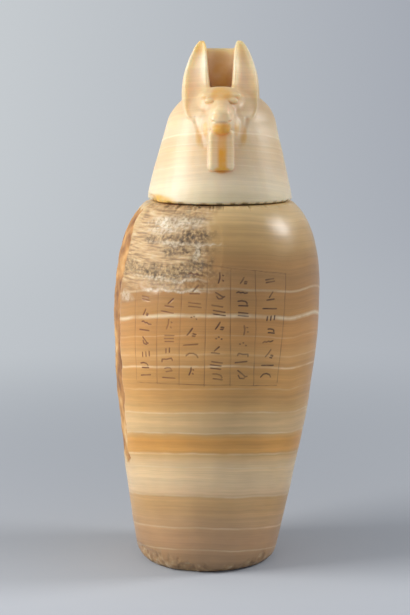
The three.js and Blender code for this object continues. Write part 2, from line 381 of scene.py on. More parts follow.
class Lattice:
    """Distances to a carved body, held at the crossings of a box-shaped lattice."""

    def __init__(self, x: Array, y: Array, z: Array) -> None:
        """Starts an empty lattice on three rising lists of places."""
        self.axes = [a.astype(np.float32) for a in (x, y, z)]
        self.values = np.full([len(a) for a in self.axes], EMPTY, np.float32)

    def window(self, low: tuple, high: tuple) -> tuple[tuple, list[Array]]:
        """The part of the lattice in a box.

        Args:
            low: Lowest corner.
            high: Highest corner.

        Returns:
            Its slices, and its places shaped so that they spread over each other.
        """
        slices = []
        places = []
        for i, axis in enumerate(self.axes):
            first, last = np.searchsorted(axis, (low[i], high[i]))
            slices.append(slice(max(first - 1, 0), last + 1))
            shape = [1, 1, 1]
            shape[i] = -1
            places.append(axis[slices[-1]].reshape(shape))
        return tuple(slices), places

    def blend_in(self, shape: Shape, low: tuple, high: tuple, blend: float = 0, even: bool = False) -> None:
        """Adds a shape, rounding the crease where it meets the body.

        Args:
            shape: What is added.
            low: Lowest corner of a box round it.
            high: Highest corner of that box.
            blend: Over how many millimetres the crease is rounded.
            even: Whether the shape is a level that has to be turned into a distance.
        """
        part, places = self.window(low, high)
        distance = self.evened(shape(*places), part) if even else shape(*places)
        self.values[part] = smooth_min(self.values[part], distance, blend)

    def carve(self, shape: Shape, low: tuple, high: tuple, blend: float = 0, even: bool = False) -> None:
        """Cuts a shape away, rounding the edges that it leaves.

        Args:
            shape: What is cut away.
            low: Lowest corner of the box that it is cut in.
            high: Highest corner of that box.
            blend: Over how many millimetres the edges are rounded.
            even: Whether the shape is a level that has to be turned into a distance.
        """
        part, places = self.window(low, high)
        distance = self.evened(shape(*places), part) if even else shape(*places)
        self.values[part] = -smooth_min(-self.values[part], distance, blend)

    def evened(self, level: Array, part: tuple) -> Array:
        """Turns a level into roughly a distance.

        Args:
            level: Numbers that are 0 on a surface.
            part: Slices of the lattice that they stand for.

        Returns:
            The distances from the surface.
        """
        slopes = np.gradient(level, *[a[s] for a, s in zip(self.axes, part)])
        steep = np.sqrt(sum(s * s for s in slopes))
        return level / np.maximum(steep, 1e-3)

    def at(self, points: Array) -> Array:
        """Distances at points, read between the crossings.

        Args:
            points: One row for each point.

        Returns:
            One distance for each.
        """
        corners = []
        shares = []
        for i, axis in enumerate(self.axes):
            cell = np.clip(np.searchsorted(axis, points[:, i]) - 1, 0, len(axis) - 2)
            corners.append(cell)
            shares.append((points[:, i] - axis[cell]) / (axis[cell + 1] - axis[cell]))
        total = np.zeros(len(points))
        for corner in np.ndindex(2, 2, 2):
            weight = np.ones(len(points))
            for share, bit in zip(shares, corner):
                weight = weight * (share if bit else 1 - share)
            total += weight * self.values[tuple(c + b for c, b in zip(corners, corner))]
        return total

    def slope(self, points: Array, reach: float = 0.7) -> Array:
        """Outward directions at points.

        Args:
            points: One row for each point.
            reach: How far round each the distances are compared, mm.

        Returns:
            One direction for each, one unit long.
        """
        steps = np.eye(3) * reach
        slopes = np.stack([self.at(points + s) - self.at(points - s) for s in steps], axis=1)
        return slopes / np.maximum(np.linalg.norm(slopes, axis=1, keepdims=True), 1e-6)

    def skin(self, pulls: int = 3) -> tuple[Array, Array]:
        """A closed skin of four-cornered faces where the distance is 0.

        Args:
            pulls: How often the corners are pulled onto the surface.

        Returns:
            The corners, and the corner numbers of each face.
        """
        inside = self.values < 0
        count = np.zeros([n - 1 for n in inside.shape], np.int8)
        for corner in np.ndindex(2, 2, 2):
            count += inside[tuple(slice(b, n - 1 + b) for b, n in zip(corner, inside.shape))]
        cells = np.argwhere((count > 0) & (count < 8))
        number = np.full(count.shape, -1, np.int32)
        number[tuple(cells.T)] = np.arange(len(cells))
        total = np.zeros((len(cells), 3))
        met = np.zeros(len(cells))
        for way in range(3):
            for sides in np.ndindex(2, 2):
                start = np.insert(np.array(sides), way, 0)
                first = cells + start
                last = first.copy()
                last[:, way] += 1
                a = self.values[tuple(first.T)]
                b = self.values[tuple(last.T)]
                crossed = (a < 0) != (b < 0)
                share = np.where(crossed, a / np.where(crossed, a - b, 1), 0)
                spot = np.stack([self.axes[i][first[:, i]] for i in range(3)], axis=1)
                spot[:, way] += share * (self.axes[way][last[:, way]] - self.axes[way][first[:, way]])
                total += spot * crossed[:, None]
                met += crossed
        points = total / met[:, None]
        faces = []
        for way in range(3):
            u, v = (way + 1) % 3, (way + 2) % 3
            low = np.take(inside, range(inside.shape[way] - 1), way)
            high = np.take(inside, range(1, inside.shape[way]), way)
            edges = np.argwhere(low != high)
            edges = edges[(edges[:, u] > 0) & (edges[:, v] > 0)]
            edges = edges[(edges[:, u] < count.shape[u]) & (edges[:, v] < count.shape[v])]
            leaves = low[tuple(edges.T)]
            ring = []
            for du, dv in ((-1, -1), (0, -1), (0, 0), (-1, 0)):
                cell = edges.copy()
                cell[:, u] += du
                cell[:, v] += dv
                ring.append(number[tuple(cell.T)])
            quads = np.stack(ring, axis=1)
            faces.append(np.where(leaves[:, None], quads, quads[:, ::-1]))
        for _ in range(pulls):
            points = points - np.clip(self.at(points), -0.6, 0.6)[:, None] * self.slope(points) * 0.8
        return points, np.concatenate(faces)


# ---------------------------------------------------------------- finishes


class Stone(Enum):
    """Names of the numbers that the meshes carry and the finishes read."""

    STROKE = "stroke"  # millimetres to the nearest cut stroke
    RULING = "ruling"  # millimetres to the nearest ruled line
    PATCH = "patch"  # where the shoulder is eaten away
    CRUST = "crust"  # dark grey speckle on the eaten shoulder and under the lid
    BLOOM = "bloom"  # white crumbled stone on the eaten shoulder
    SCAR = "scar"  # where the long flake came off
    HEEL = "heel"  # where the foot is worn
    CREASE = "crease"  # how deep in a fold of the carving, where the lid's colour is darkened as painted shade
    STAIN = "stain"  # orange iron stain, and painted shade in the creases by the cheeks and the wig, under the chin and the strut, and on the pocket's back wall
    GRIME = "grime"  # painted shade in the left ear's lower corner, in the pocket, along the mouth and on the right of the head; and a darker lower edge in broken stretches


@dataclass(frozen=True)
class Calcite:
    """Travertine, banded calcite, ground with sand and rubbed smooth.

    To the eye: milky stone in cream and honey layers a few millimetres to a few centimetres thick, a
    soft wax-like gloss, and light that sinks in a little at the edges.
    """

    name: str = "banded_calcite"
    bands: tuple = ()  # (height in the layers in mm, hex)
    veins: tuple = ()  # (height in the layers in mm, half thickness in mm, strength)
    vein_colour: str = "#efdcb8"
    span: tuple = (-20.0, 410.0)
    drift: float = 2.2  # mm that a layer wanders up and down
    rise: float = 7.0  # mm that the layers climb at the right side, past a healed crack
    roughness: float = 0.3
    fine_stripe: float = 0.05  # how much the fine layers differ in brightness
    cloud: float = 0.08  # how much broad patches differ in brightness
    bump: float = 0.2
    glow: float = 0.35  # share of the light that sinks in
    glow_depth: float = 0.006  # how far it spreads, m
    glow_reach: tuple = (1.0, 0.72, 0.46)  # red, green and blue light's shares of that
    ior: float = 1.52
    waves: tuple = ((14.0, 1.0, 1.0), (55.0, 0.45, 2.0))  # in a metre, share of the drift, detail
    stripes: tuple = ((6.0, 0.34, 0.5), (16.0, 1.3, 0.32), (60.0, 0.35, 0.18))  # per m, per mm up, share
    patch_scale: float = 22.0  # waves in a metre: patches of about 45 mm
    crack: tuple = (0.052, 0.08)  # X from which and up to which the layers climb, m

    def layers(self, tree: bpy.types.NodeTree) -> tuple:
        """Adds the nodes for the layered colour.

        Args:
            tree: The material's tree.

        Returns:
            The colour and the position (m).
        """
        place = add(tree, "ShaderNodeTexCoord")["Object"]
        upright = add(
            tree, "ShaderNodeVectorMath", {"operation": "DOT_PRODUCT"}, {0: place, 1: STRATA_TILT}
        )[1]
        height = add(tree, "ShaderNodeMath", {"operation": "MULTIPLY"}, {0: upright, 1: 1 / MM})[0]
        for scale, part, detail in self.waves:
            reach = self.drift * part * 2
            wave = add(
                tree, "ShaderNodeTexNoise", None, {"Vector": place, "Scale": scale, "Detail": detail}
            )[0]
            centred = add(tree, "ShaderNodeMath", {"operation": "SUBTRACT"}, {0: wave, 1: 0.5})[0]
            height = add(
                tree, "ShaderNodeMath", {"operation": "MULTIPLY_ADD"}, {0: centred, 1: reach, 2: height}
            )[0]
        parts = add(tree, "ShaderNodeSeparateXYZ", None, {0: place})
        kink = add(
            tree, "ShaderNodeMapRange", {"interpolation_type": "SMOOTHSTEP"},
            {0: parts[0], 1: self.crack[0], 2: self.crack[1], 3: 0.0, 4: -self.rise},
        )[0]
        height = add(tree, "ShaderNodeMath", {"operation": "ADD"}, {0: height, 1: kink})[0]
        low, high = self.span
        share = add(tree, "ShaderNodeMapRange", None, {0: height, 1: low, 2: high})[0]
        stops = [((h - low) / (high - low), code) for h, code in self.bands]
        colour = add(tree, "ShaderNodeValToRGB", {"stops": stops}, {0: share})[0]
        for at, half, strength in self.veins:
            off = add(tree, "ShaderNodeMath", {"operation": "SUBTRACT"}, {0: height, 1: at})[0]
            gap = add(tree, "ShaderNodeMath", {"operation": "ABSOLUTE"}, {0: off})[0]
            mask = add(tree, "ShaderNodeMapRange", None, {0: gap, 1: half, 2: 0.0, 3: 0.0, 4: strength})[0]
            broken = add(
                tree, "ShaderNodeTexNoise", None, {"Vector": place, "Scale": 35.0 + at * 0.1, "Detail": 3.0}
            )[0]
            kept = add(tree, "ShaderNodeMapRange", None, {0: broken, 1: 0.3, 2: 0.56, 3: 0.25, 4: 1.0})[0]
            both = add(tree, "ShaderNodeMath", {"operation": "MULTIPLY"}, {0: mask, 1: kept})[0]
            colour = add(
                tree, "ShaderNodeMix", {"data_type": "RGBA"}, {0: both, 6: colour, 7: linear(self.vein_colour)}
            )[2]
        patches = add(
            tree, "ShaderNodeTexNoise", None, {"Vector": place, "Scale": self.patch_scale, "Detail": 2.0}
        )[0]
        bright = add(
            tree, "ShaderNodeMapRange", None,
            {0: patches, 1: 0.3, 2: 0.7, 3: 1 - self.cloud, 4: 1 + self.cloud},
        )[0]
        for flat, thick, share_of in self.stripes:
            across = add(tree, "ShaderNodeMath", {"operation": "MULTIPLY"}, {0: parts[0], 1: flat})[0]
            deep = add(tree, "ShaderNodeMath", {"operation": "MULTIPLY"}, {0: parts[1], 1: flat})[0]
            up = add(tree, "ShaderNodeMath", {"operation": "MULTIPLY"}, {0: height, 1: thick})[0]
            spot = add(tree, "ShaderNodeCombineXYZ", None, {0: across, 1: deep, 2: up})[0]
            wave = add(tree, "ShaderNodeTexNoise", None, {"Vector": spot, "Scale": 1.0, "Detail": 3.0})[0]
            low_value = 1 - self.fine_stripe * share_of * 3.4
            part = add(
                tree, "ShaderNodeMapRange", None, {0: wave, 1: 0.3, 2: 0.7, 3: low_value, 4: 2 - low_value}
            )[0]
            bright = add(tree, "ShaderNodeMath", {"operation": "MULTIPLY"}, {0: bright, 1: part})[0]
        colour = add(tree, "ShaderNodeVectorMath", {"operation": "SCALE"}, {0: colour, "Scale": bright})[0]
        return colour, place

    def tint(
        self, tree: bpy.types.NodeTree, colour: Value, mask: Value, code: str, strength: float
    ) -> Value:
        """Lays a colour over another where a mask says.

        Args:
            tree: The material's tree.
            colour: The colour beneath.
            mask: Where the new colour lies, 0 to 1.
            code: The new colour as hex.
            strength: How much of it shows where the mask is 1.

        Returns:
            The mixed colour.
        """
        share = add(
            tree, "ShaderNodeMath", {"operation": "MULTIPLY", "use_clamp": True}, {0: mask, 1: strength}
        )[0]
        return add(tree, "ShaderNodeMix", {"data_type": "RGBA"}, {0: share, 6: colour, 7: linear(code)})[2]

    def finish(self, material: bpy.types.Material, colour: Value, rough: Value, relief: Value) -> None:
        """Joins the nodes to the shader.

        Args:
            material: The stone.
            colour: Its colour.
            rough: Its roughness.
            relief: Its finest relief, 0 to 1 for a millimetre.
        """
        tree = material.node_tree
        normal = add(
            tree, "ShaderNodeBump", None, {"Strength": self.bump, "Distance": MM, "Height": relief}
        )[0]
        shader = tree.nodes["Principled BSDF"]
        tree.links.new(colour, shader.inputs["Base Color"])
        tree.links.new(rough, shader.inputs["Roughness"])
        tree.links.new(normal, shader.inputs["Normal"])
        shader.inputs["IOR"].default_value = self.ior
        shader.inputs["Subsurface Weight"].default_value = self.glow
        shader.inputs["Subsurface Radius"].default_value = self.glow_reach
        shader.inputs["Subsurface Scale"].default_value = self.glow_depth


@dataclass(frozen=True)
class JarCalcite(Calcite):
    """The jar's stone: honey and brown layers under a creamy shoulder, with paint in the cut strokes."""

    name: str = "jar_banded_calcite"
    bands: tuple = (
        (-16, "#7d6248"),
        (-6, "#9a7a58"),
        (4, "#b08c66"),
        (14, "#b8916a"),
        (24, "#bd966c"),
        (30, "#c29c70"),
        (40, "#c9a06c"),
        (49, "#cba36e"),
        (51, "#dcbb90"),
        (60, "#e4c79c"),
        (74, "#dfc092"),
        (81, "#d4ad76"),
        (84, "#d6a057"),
        (92, "#d3994b"),
        (97, "#d4a460"),
        (99, "#d8b684"),
        (112, "#d4b07c"),
        (116, "#cfa468"),
        (128, "#c99857"),
        (146, "#c59352"),
        (150, "#c79659"),
        (158, "#cb9b5e"),
        (166, "#c59153"),
        (182, "#c28e52"),
        (188, "#ba8a50"),
        (204, "#b0834f"),
        (216, "#ab8251"),
        (226, "#ae8450"),
        (238, "#b8945f"),
        (250, "#c4a26e"),
        (262, "#d2b584"),
    )
    veins: tuple = (
        (205.5, 1.4, 0.45),
        (185.6, 2.2, 0.8),
        (148.4, 1.2, 0.5),
        (157.0, 1.0, 0.2),
        (171.0, 0.8, 0.18),
        (132.0, 0.9, 0.2),
        (114.0, 1.0, 0.4),
        (98.5, 0.9, 0.5),
        (82.4, 1.0, 0.45),
        (72.0, 0.8, 0.3),
        (50.0, 1.0, 0.35),
        (25.2, 1.0, 0.35),
        (8.0, 0.9, 0.35),
    )
    paint: str = "#4d3322"
    paint_faded: str = "#7d4e30"
    line_half: float = 0.44  # half width of a painted stroke, mm
    ruling_share: float = 0.55  # how wide a ruled line is beside a stroke
    grit_noise: tuple = (420.0, 4.0)  # waves in a metre, and detail: grains of about 2 mm
    spot_noise: tuple = (190.0, 2.0)  # spots of about 5 mm
    cloud_noise: tuple = (60.0, 3.0)  # patches of about 17 mm
    ripple_scale: float = 260.0  # waves in a metre: lines about 4 mm apart on the eaten stone
    glow: float = 0.5
    glow_depth: float = 0.008

    def make(self) -> bpy.types.Material:
        """Builds the material.

        Returns:
            The finished material.
        """
        material = bpy.data.materials.new(self.name)
        material.use_nodes = True
        tree = material.node_tree
        colour, place = self.layers(tree)
        masks = {
            kind: add(tree, "ShaderNodeAttribute", {"attribute_name": kind.value})["Fac"]
            for kind in Stone
        }
        grit, spots, clouds = (
            add(tree, "ShaderNodeTexNoise", None, {"Vector": place, "Scale": scale, "Detail": detail})[0]
            for scale, detail in (self.grit_noise, self.spot_noise, self.cloud_noise)
        )

        flat = add(
            tree, "ShaderNodeVectorMath", {"operation": "MULTIPLY"}, {0: place, 1: (0.3, 0.3, 2.6)}
        )[0]
        ripples = add(
            tree, "ShaderNodeTexNoise", None, {"Vector": flat, "Scale": self.ripple_scale, "Detail": 3.0}
        )[0]
        eaten = [(0.36, "#9c7f5c"), (0.5, "#c4a276"), (0.6, "#cfb287"), (0.68, "#d8c09a")]
        worn = add(tree, "ShaderNodeValToRGB", {"stops": eaten}, {0: ripples})[0]
        colour = add(
            tree, "ShaderNodeMix", {"data_type": "RGBA"}, {0: masks[Stone.PATCH], 6: colour, 7: worn}
        )[2]
        for kind, stops in (
            (Stone.CRUST, [(0.36, "#4d3e2e"), (0.46, "#775f43"), (0.54, "#9d8159"), (0.64, "#c2a478")]),
            (Stone.BLOOM, [(0.34, "#a8937a"), (0.44, "#d2c2a6"), (0.55, "#e9dfcb")]),
        ):
            powder = add(tree, "ShaderNodeValToRGB", {"stops": stops}, {0: grit})[0]
            broken = add(tree, "ShaderNodeMapRange", None, {0: spots, 1: 0.36, 2: 0.6, 3: 0.55, 4: 1.0})[0]
            share = add(tree, "ShaderNodeMath", {"operation": "MULTIPLY"}, {0: masks[kind], 1: broken})[0]
            colour = add(tree, "ShaderNodeMix", {"data_type": "RGBA"}, {0: share, 6: colour, 7: powder})[2]

        flaked = [(0.3, "#7d5230"), (0.5, "#b07e48"), (0.62, "#cc9a5e"), (0.74, "#dfc08e")]
        footworn = [(0.34, "#7f6448"), (0.48, "#a2805a"), (0.6, "#b79870"), (0.7, "#cfbb9a")]
        for kind, wave, stops in ((Stone.SCAR, clouds, flaked), (Stone.HEEL, spots, footworn)):
            broken = add(tree, "ShaderNodeValToRGB", {"stops": stops}, {0: wave})[0]
            colour = add(
                tree, "ShaderNodeMix", {"data_type": "RGBA"}, {0: masks[kind], 6: colour, 7: broken}
            )[2]

        signs, rulings = (
            add(
                tree, "ShaderNodeMapRange", None,
                {0: masks[kind], 1: half + 0.32, 2: half - 0.1, 3: 0.0, 4: most},
            )[0]
            for kind, half, most in (
                (Stone.STROKE, self.line_half, 1.0), (Stone.RULING, self.line_half * self.ruling_share, 0.6)
            )
        )
        inked = add(tree, "ShaderNodeMath", {"operation": "MAXIMUM"}, {0: signs, 1: rulings})[0]
        kept = add(tree, "ShaderNodeMapRange", None, {0: clouds, 1: 0.4, 2: 0.58, 3: 0.55, 4: 1.0})[0]
        inked = add(tree, "ShaderNodeMath", {"operation": "MULTIPLY"}, {0: inked, 1: kept})[0]
        side = add(tree, "ShaderNodeSeparateXYZ", None, {0: place})[0]
        right = add(tree, "ShaderNodeMapRange", None, {0: side, 1: -0.045, 2: 0.03})[0]
        paint = add(
            tree, "ShaderNodeMix", {"data_type": "RGBA"},
            {0: right, 6: linear(self.paint_faded), 7: linear(self.paint)},
        )[2]
        colour = add(tree, "ShaderNodeMix", {"data_type": "RGBA"}, {0: inked, 6: colour, 7: paint})[2]

        harsh = add(
            tree, "ShaderNodeMath", {"operation": "MAXIMUM"}, {0: masks[Stone.PATCH], 1: masks[Stone.SCAR]}
        )[0]
        harsh = add(tree, "ShaderNodeMath", {"operation": "MAXIMUM"}, {0: harsh, 1: masks[Stone.HEEL]})[0]
        rough = add(
            tree, "ShaderNodeMapRange", None, {0: harsh, 1: 0.0, 2: 1.0, 3: self.roughness, 4: 0.68}
        )[0]
        deep = add(tree, "ShaderNodeMapRange", None, {0: harsh, 1: 0.0, 2: 1.0, 3: 0.12, 4: 1.0})[0]
        relief = add(tree, "ShaderNodeMath", {"operation": "MULTIPLY"}, {0: grit, 1: deep})[0]
        self.finish(material, colour, rough, relief)
        return material


@dataclass(frozen=True)
class LidCalcite(Calcite):
    """The lid's stone: one pale cream block, warmer towards the face, with iron stains and painted shade in
    its folds.
    """

    name: str = "lid_cream_calcite"
    bands: tuple = (
        (255, "#dcc096"),
        (268, "#e4cda6"),
        (284, "#ead8b8"),
        (300, "#e2caa6"),
        (312, "#dfc49a"),
        (322, "#e2c9a2"),
        (326, "#e8d3b0"),
        (345, "#dfc298"),
        (360, "#e0c296"),
        (380, "#ebd6b4"),
        (405, "#dcbd8c"),
    )
    veins: tuple = ((324.0, 0.9, 0.6), (316.0, 0.6, 0.35), (311.0, 0.6, 0.3), (299.0, 0.7, 0.25))
    vein_colour: str = "#f8ecd4"
    drift: float = 1.6
    rise: float = 0.0
    fine_stripe: float = 0.035
    cloud: float = 0.05
    roughness: float = 0.4
    bump: float = 0.12
    glow: float = 0.75
    glow_depth: float = 0.02
    grit_noise: tuple = (380.0, 4.0)  # waves in a metre, and detail: grains under 3 mm
    cloud_noise: tuple = (90.0, 3.0)  # patches of about 11 mm

    def make(self) -> bpy.types.Material:
        """Builds the material.

        Returns:
            The finished material.
        """
        material = bpy.data.materials.new(self.name)
        material.use_nodes = True
        tree = material.node_tree
        colour, place = self.layers(tree)
        masks = {
            kind: add(tree, "ShaderNodeAttribute", {"attribute_name": kind.value})["Fac"]
            for kind in (Stone.CREASE, Stone.STAIN, Stone.GRIME)
        }
        grit, clouds = (
            add(tree, "ShaderNodeTexNoise", None, {"Vector": place, "Scale": scale, "Detail": detail})[0]
            for scale, detail in (self.grit_noise, self.cloud_noise)
        )
        uneven = add(tree, "ShaderNodeMapRange", None, {0: clouds, 1: 0.3, 2: 0.7, 3: 0.6, 4: 1.2})[0]
        fold_shade, stain = (
            add(tree, "ShaderNodeMath", {"operation": "MULTIPLY"}, {0: masks[kind], 1: uneven})[0]
            for kind in (Stone.CREASE, Stone.STAIN)
        )
        # iron stains, with painted shade in the creases by the cheeks and the wig, under the chin and strut,
        # and on the pocket's back wall
        colour = self.tint(tree, colour, stain, "#dfa630", 0.95)
        # painted shade: the folds of the carving are darkened towards brown
        colour = self.tint(tree, colour, fold_shade, "#c08a4c", 0.6)
        # painted shade in the left ear's corner, the pocket, the mouth and the head's right side, and a darker
        # broken lower edge
        colour = self.tint(tree, colour, masks[Stone.GRIME], "#6b5530", 0.85)
        rough = add(
            tree, "ShaderNodeMapRange", None,
            {0: masks[Stone.GRIME], 1: 0.0, 2: 1.0, 3: self.roughness, 4: 0.6},
        )[0]
        self.finish(material, colour, rough, grit)
        return material


@dataclass(frozen=True)
class StudioPaper:
    """Matt background paper, pale blue-grey: it spreads light evenly and shows no gloss.

    Near the object it is lit by the softboxes. Far away it is lit by lamps of its own, brighter at the
    left, which the far part's own light stands for.
    """

    name: str = "studio_paper"
    colour: str = "#bcc2cb"
    far_left: str = "#c6cbcf"
    far_right: str = "#a6abb4"
    bend_shade: float = 0.8  # painted shade: the paper's colour is darker just behind the object, where it starts to rise
    roughness: float = 0.95

    def make(self) -> bpy.types.Material:
        """Builds the material.

        Returns:
            The finished material.
        """
        material = bpy.data.materials.new(self.name)
        material.use_nodes = True
        tree = material.node_tree
        place = add(tree, "ShaderNodeTexCoord")["Object"]
        parts = add(tree, "ShaderNodeSeparateXYZ", None, {0: place})
        away = add(tree, "ShaderNodeVectorMath", {"operation": "LENGTH"}, {0: place})["Value"]
        far = add(
            tree, "ShaderNodeMapRange", {"interpolation_type": "SMOOTHSTEP"}, {0: away, 1: 0.2, 2: 1.0}
        )[0]
        # painted shade where the paper starts to rise behind the object
        rise = add(
            tree, "ShaderNodeMapRange", {"interpolation_type": "SMOOTHSTEP"},
            {0: parts[1], 1: -0.12, 2: 0.05, 3: 1.0, 4: self.bend_shade},
        )[0]
        near = add(tree, "ShaderNodeMath", {"operation": "MULTIPLY_ADD"}, {0: far, 1: -1.0, 2: 1.0})[0]
        shade = add(tree, "ShaderNodeMath", {"operation": "MULTIPLY"}, {0: near, 1: rise})[0]
        colour = add(
            tree, "ShaderNodeVectorMath", {"operation": "SCALE"},
            {0: linear(self.colour)[:3], "Scale": shade},
        )[0]
        side = add(tree, "ShaderNodeMapRange", None, {0: parts[0], 1: -0.6, 2: 0.6})[0]
        glow = add(
            tree, "ShaderNodeMix", {"data_type": "RGBA"},
            {0: side, 6: linear(self.far_left), 7: linear(self.far_right)},
        )[2]
        shader = tree.nodes["Principled BSDF"]
        tree.links.new(colour, shader.inputs["Base Color"])
        tree.links.new(glow, shader.inputs["Emission Color"])
        tree.links.new(far, shader.inputs["Emission Strength"])
        shader.inputs["Roughness"].default_value = self.roughness
        shader.inputs["Specular IOR Level"].default_value = 0.0
        return material


# ---------------------------------------------------------------- the inscribed panel


class Sign(Enum):
    """Small groups of shallow strokes, none of them a letter: strokes of (across, up) points in mm."""

    BAR = (((-4.6, 0), (4.4, 0.3)),)
    TWO_BARS = (((-4, 1.1), (3.4, 1.2)), ((-3.6, -1.1), (4, -0.9)))
    THREE_BARS = (((-3, 2), (3.4, 2.1)), ((-3.4, 0), (3, 0.2)), ((-3, -2), (3.2, -1.8)))
    RIPPLE = (((-4.4, 0), (-2.8, 0.8), (-1.2, 0), (0.4, 0.7), (2, 0), (4.4, 0.5)),)
    LOW_ARCH = (((-3.6, -1.2), (-2, 0.6), (0.4, 1), (2.6, 0.2), (3.6, -1.2)),)
    SLANT = (((-2.4, -2.2), (-0.8, 0), (0.6, 2.6)), ((1.4, -0.8), (3.2, -1.2)), ((1, -2.4), (2.6, -2.6)))
    SLANT_OVER_BAR = (((1.8, 3), (0.2, 1), (-1.2, -0.8)), ((-3.2, -2.6), (3, -2.3)))
    TWO_TICKS = (((-1.8, -1.6), (-1.2, 1.6)), ((1.2, -1.4), (1.8, 1.8)))
    THREE_TICKS = (((-3, -1.4), (-2.6, 1.4)), ((-0.2, -1.4), (0.2, 1.5)), ((2.6, -1.2), (3, 1.6)))
    DOTS = (((-2.2, 0.2), (-1.7, 0)), ((0, 1.1), (0.5, 0.9)), ((2, -0.6), (2.5, -0.8)))
    STEEP = (((-0.6, -3.2), (0.2, 0), (0, 3.2)), ((1.8, 1.8), (2.4, 1.5)), ((2, -1.4), (2.6, -1.8)))
    LEANING = (((-3, 2.4), (-1, 1), (2.2, -1.6), (3.4, -1.4)), ((-2.4, -0.6), (-1.2, -2.6), (1.6, -2.8)))
    LOW_HUMP = (((-4.2, -1), (-3.8, 0.8), (0, 0.4), (3.8, 0.9), (4.2, -0.8)),)
    HOOKED_BAR = (((-3.4, 1.4), (-1, 1.8), (1.6, 1.4), (2.6, 0.2)), ((-2.6, -1.4), (3.2, -1.2)))


@dataclass
class Inscription:
    """Six columns of shallow cut strokes between ruled lines, on the front of the jar."""

    reference_radius: float = 78.0  # arc lengths across the panel are measured on this radius
    rulings_top: tuple = (-49.3, -33.0, -19.0, -5.7, 6.4, 20.2, 39.7)  # degrees from the front
    rulings_foot: tuple = (-48.5, -33.1, -19.6, -5.6, 8.6, 21.8, 37.0)
    foot_z: float = 149.0
    top_z: float = 236.8
    frame_drop: float = 0.179  # mm that the upper line falls for each degree to the right
    stroke_half: float = 0.35
    stroke_depth: float = 0.3
    seed: int = 11
    frame_sag: float = 0.0016  # mm that the lower line falls for each square degree from its top
    head_gap: float = 2.0  # between a column's upper end and its strokes
    foot_gap: float = 3.0
    sign_gap: float = 2.6  # between two groups of strokes, before they are spread over the column
    fade: float = 0.4  # width of a cut's sloping side
    ruling_depth: float = 0.5  # share of the strokes' depth
    pit_noise: tuple = ((110.0, 0.55), (320.0, 0.45))  # scale and share of each noise
    columns: tuple = (
        (Sign.TWO_BARS, Sign.SLANT, Sign.RIPPLE, Sign.BAR,
         Sign.LEANING, Sign.THREE_TICKS, Sign.HOOKED_BAR, Sign.BAR),
        (Sign.SLANT_OVER_BAR, Sign.BAR, Sign.STEEP, Sign.THREE_BARS,
         Sign.TWO_TICKS, Sign.LOW_HUMP, Sign.HOOKED_BAR, Sign.BAR),
        (Sign.RIPPLE, Sign.SLANT_OVER_BAR, Sign.TWO_BARS, Sign.DOTS,
         Sign.SLANT, Sign.BAR, Sign.LOW_ARCH, Sign.STEEP),
        (Sign.STEEP, Sign.LEANING, Sign.BAR, Sign.TWO_BARS, Sign.SLANT,
         Sign.DOTS, Sign.SLANT_OVER_BAR, Sign.THREE_BARS, Sign.HOOKED_BAR),
        (Sign.SLANT, Sign.RIPPLE, Sign.HOOKED_BAR, Sign.TWO_BARS, Sign.STEEP,
         Sign.DOTS, Sign.LOW_HUMP, Sign.BAR, Sign.LEANING),
        (Sign.TWO_BARS, Sign.SLANT_OVER_BAR, Sign.BAR, Sign.THREE_TICKS, Sign.HOOKED_BAR,
         Sign.RIPPLE, Sign.SLANT, Sign.BAR, Sign.LOW_ARCH),
    )
    lost: tuple = (217.0, 218.0, 236.0)  # upper ends of the first three columns, under the eaten shoulder

    def across(self, azimuth: float) -> float:
        """Arc length from the front for an azimuth in degrees."""
        return math.radians(azimuth) * self.reference_radius

    def ruling(self, index: int, z: float) -> float:
        """Place across the panel of a ruled line at a height."""
        share = (z - self.foot_z) / (self.top_z - self.foot_z)
        return self.across(self.rulings_foot[index] * (1 - share) + self.rulings_top[index] * share)

    def upper(self, azimuth: float) -> float:
        """Height of the panel's upper line at an azimuth."""
        return self.top_z + 1.4 - self.frame_drop * (azimuth + 5.8)

    def top_of(self, column: int) -> float:
        """Height at which the strokes of a column begin.

        Args:
            column: Number of the column, from the left.

        Returns:
            The height.
        """
        if column < len(self.lost):
            return self.lost[column] - self.head_gap
        middle = (self.rulings_top[column] + self.rulings_top[column + 1]) / 2
        return self.upper(middle) - self.head_gap

    def line_object(self, name: str, strokes: Sequence) -> bpy.types.Object:
        """A mesh of edges only, lying flat: across is X, up is Y, in millimetres as they stand.

        Args:
            name: Name of the object.
            strokes: Rows of (across, up) points.

        Returns:
            The object.
        """
        points = []
        edges = []
        for stroke in strokes:
            edges += [(len(points) + i, len(points) + i + 1) for i in range(len(stroke) - 1)]
            points += [(u, v, 0.0) for u, v in stroke]
        mesh = bpy.data.meshes.new(name)
        mesh.from_pydata(points, edges, [])
        made = bpy.data.objects.new(name, mesh)
        bpy.context.scene.collection.objects.link(made)
        return made

    def ruled_lines(self) -> bpy.types.Object:
        """The column rulings and the frame above and below them.

        Returns:
            A mesh of edges on the flat panel.
        """
        dice = np.random.default_rng(self.seed)
        strokes = []
        tops = [self.lost[0], self.lost[0], self.lost[1], *[self.upper(a) for a in self.rulings_top[3:]]]
        for index, top in enumerate(tops):
            heights = np.linspace(self.foot_z, top, 9)
            strokes.append([(self.ruling(index, z) + dice.uniform(-0.3, 0.3), z) for z in heights])
        upper = np.linspace(self.rulings_top[3], self.rulings_top[-1], 9)
        strokes.append([(self.across(a), self.upper(a) + dice.uniform(-0.25, 0.25)) for a in upper])
        lower = np.linspace(self.rulings_foot[0], self.rulings_foot[-1], 15)
        sagging = self.foot_z + 1.2 - self.frame_sag * (lower + 8) ** 2
        strokes.append([(self.across(a), z + dice.uniform(-0.25, 0.25)) for a, z in zip(lower, sagging)])
        return self.line_object("ruled_lines", strokes)

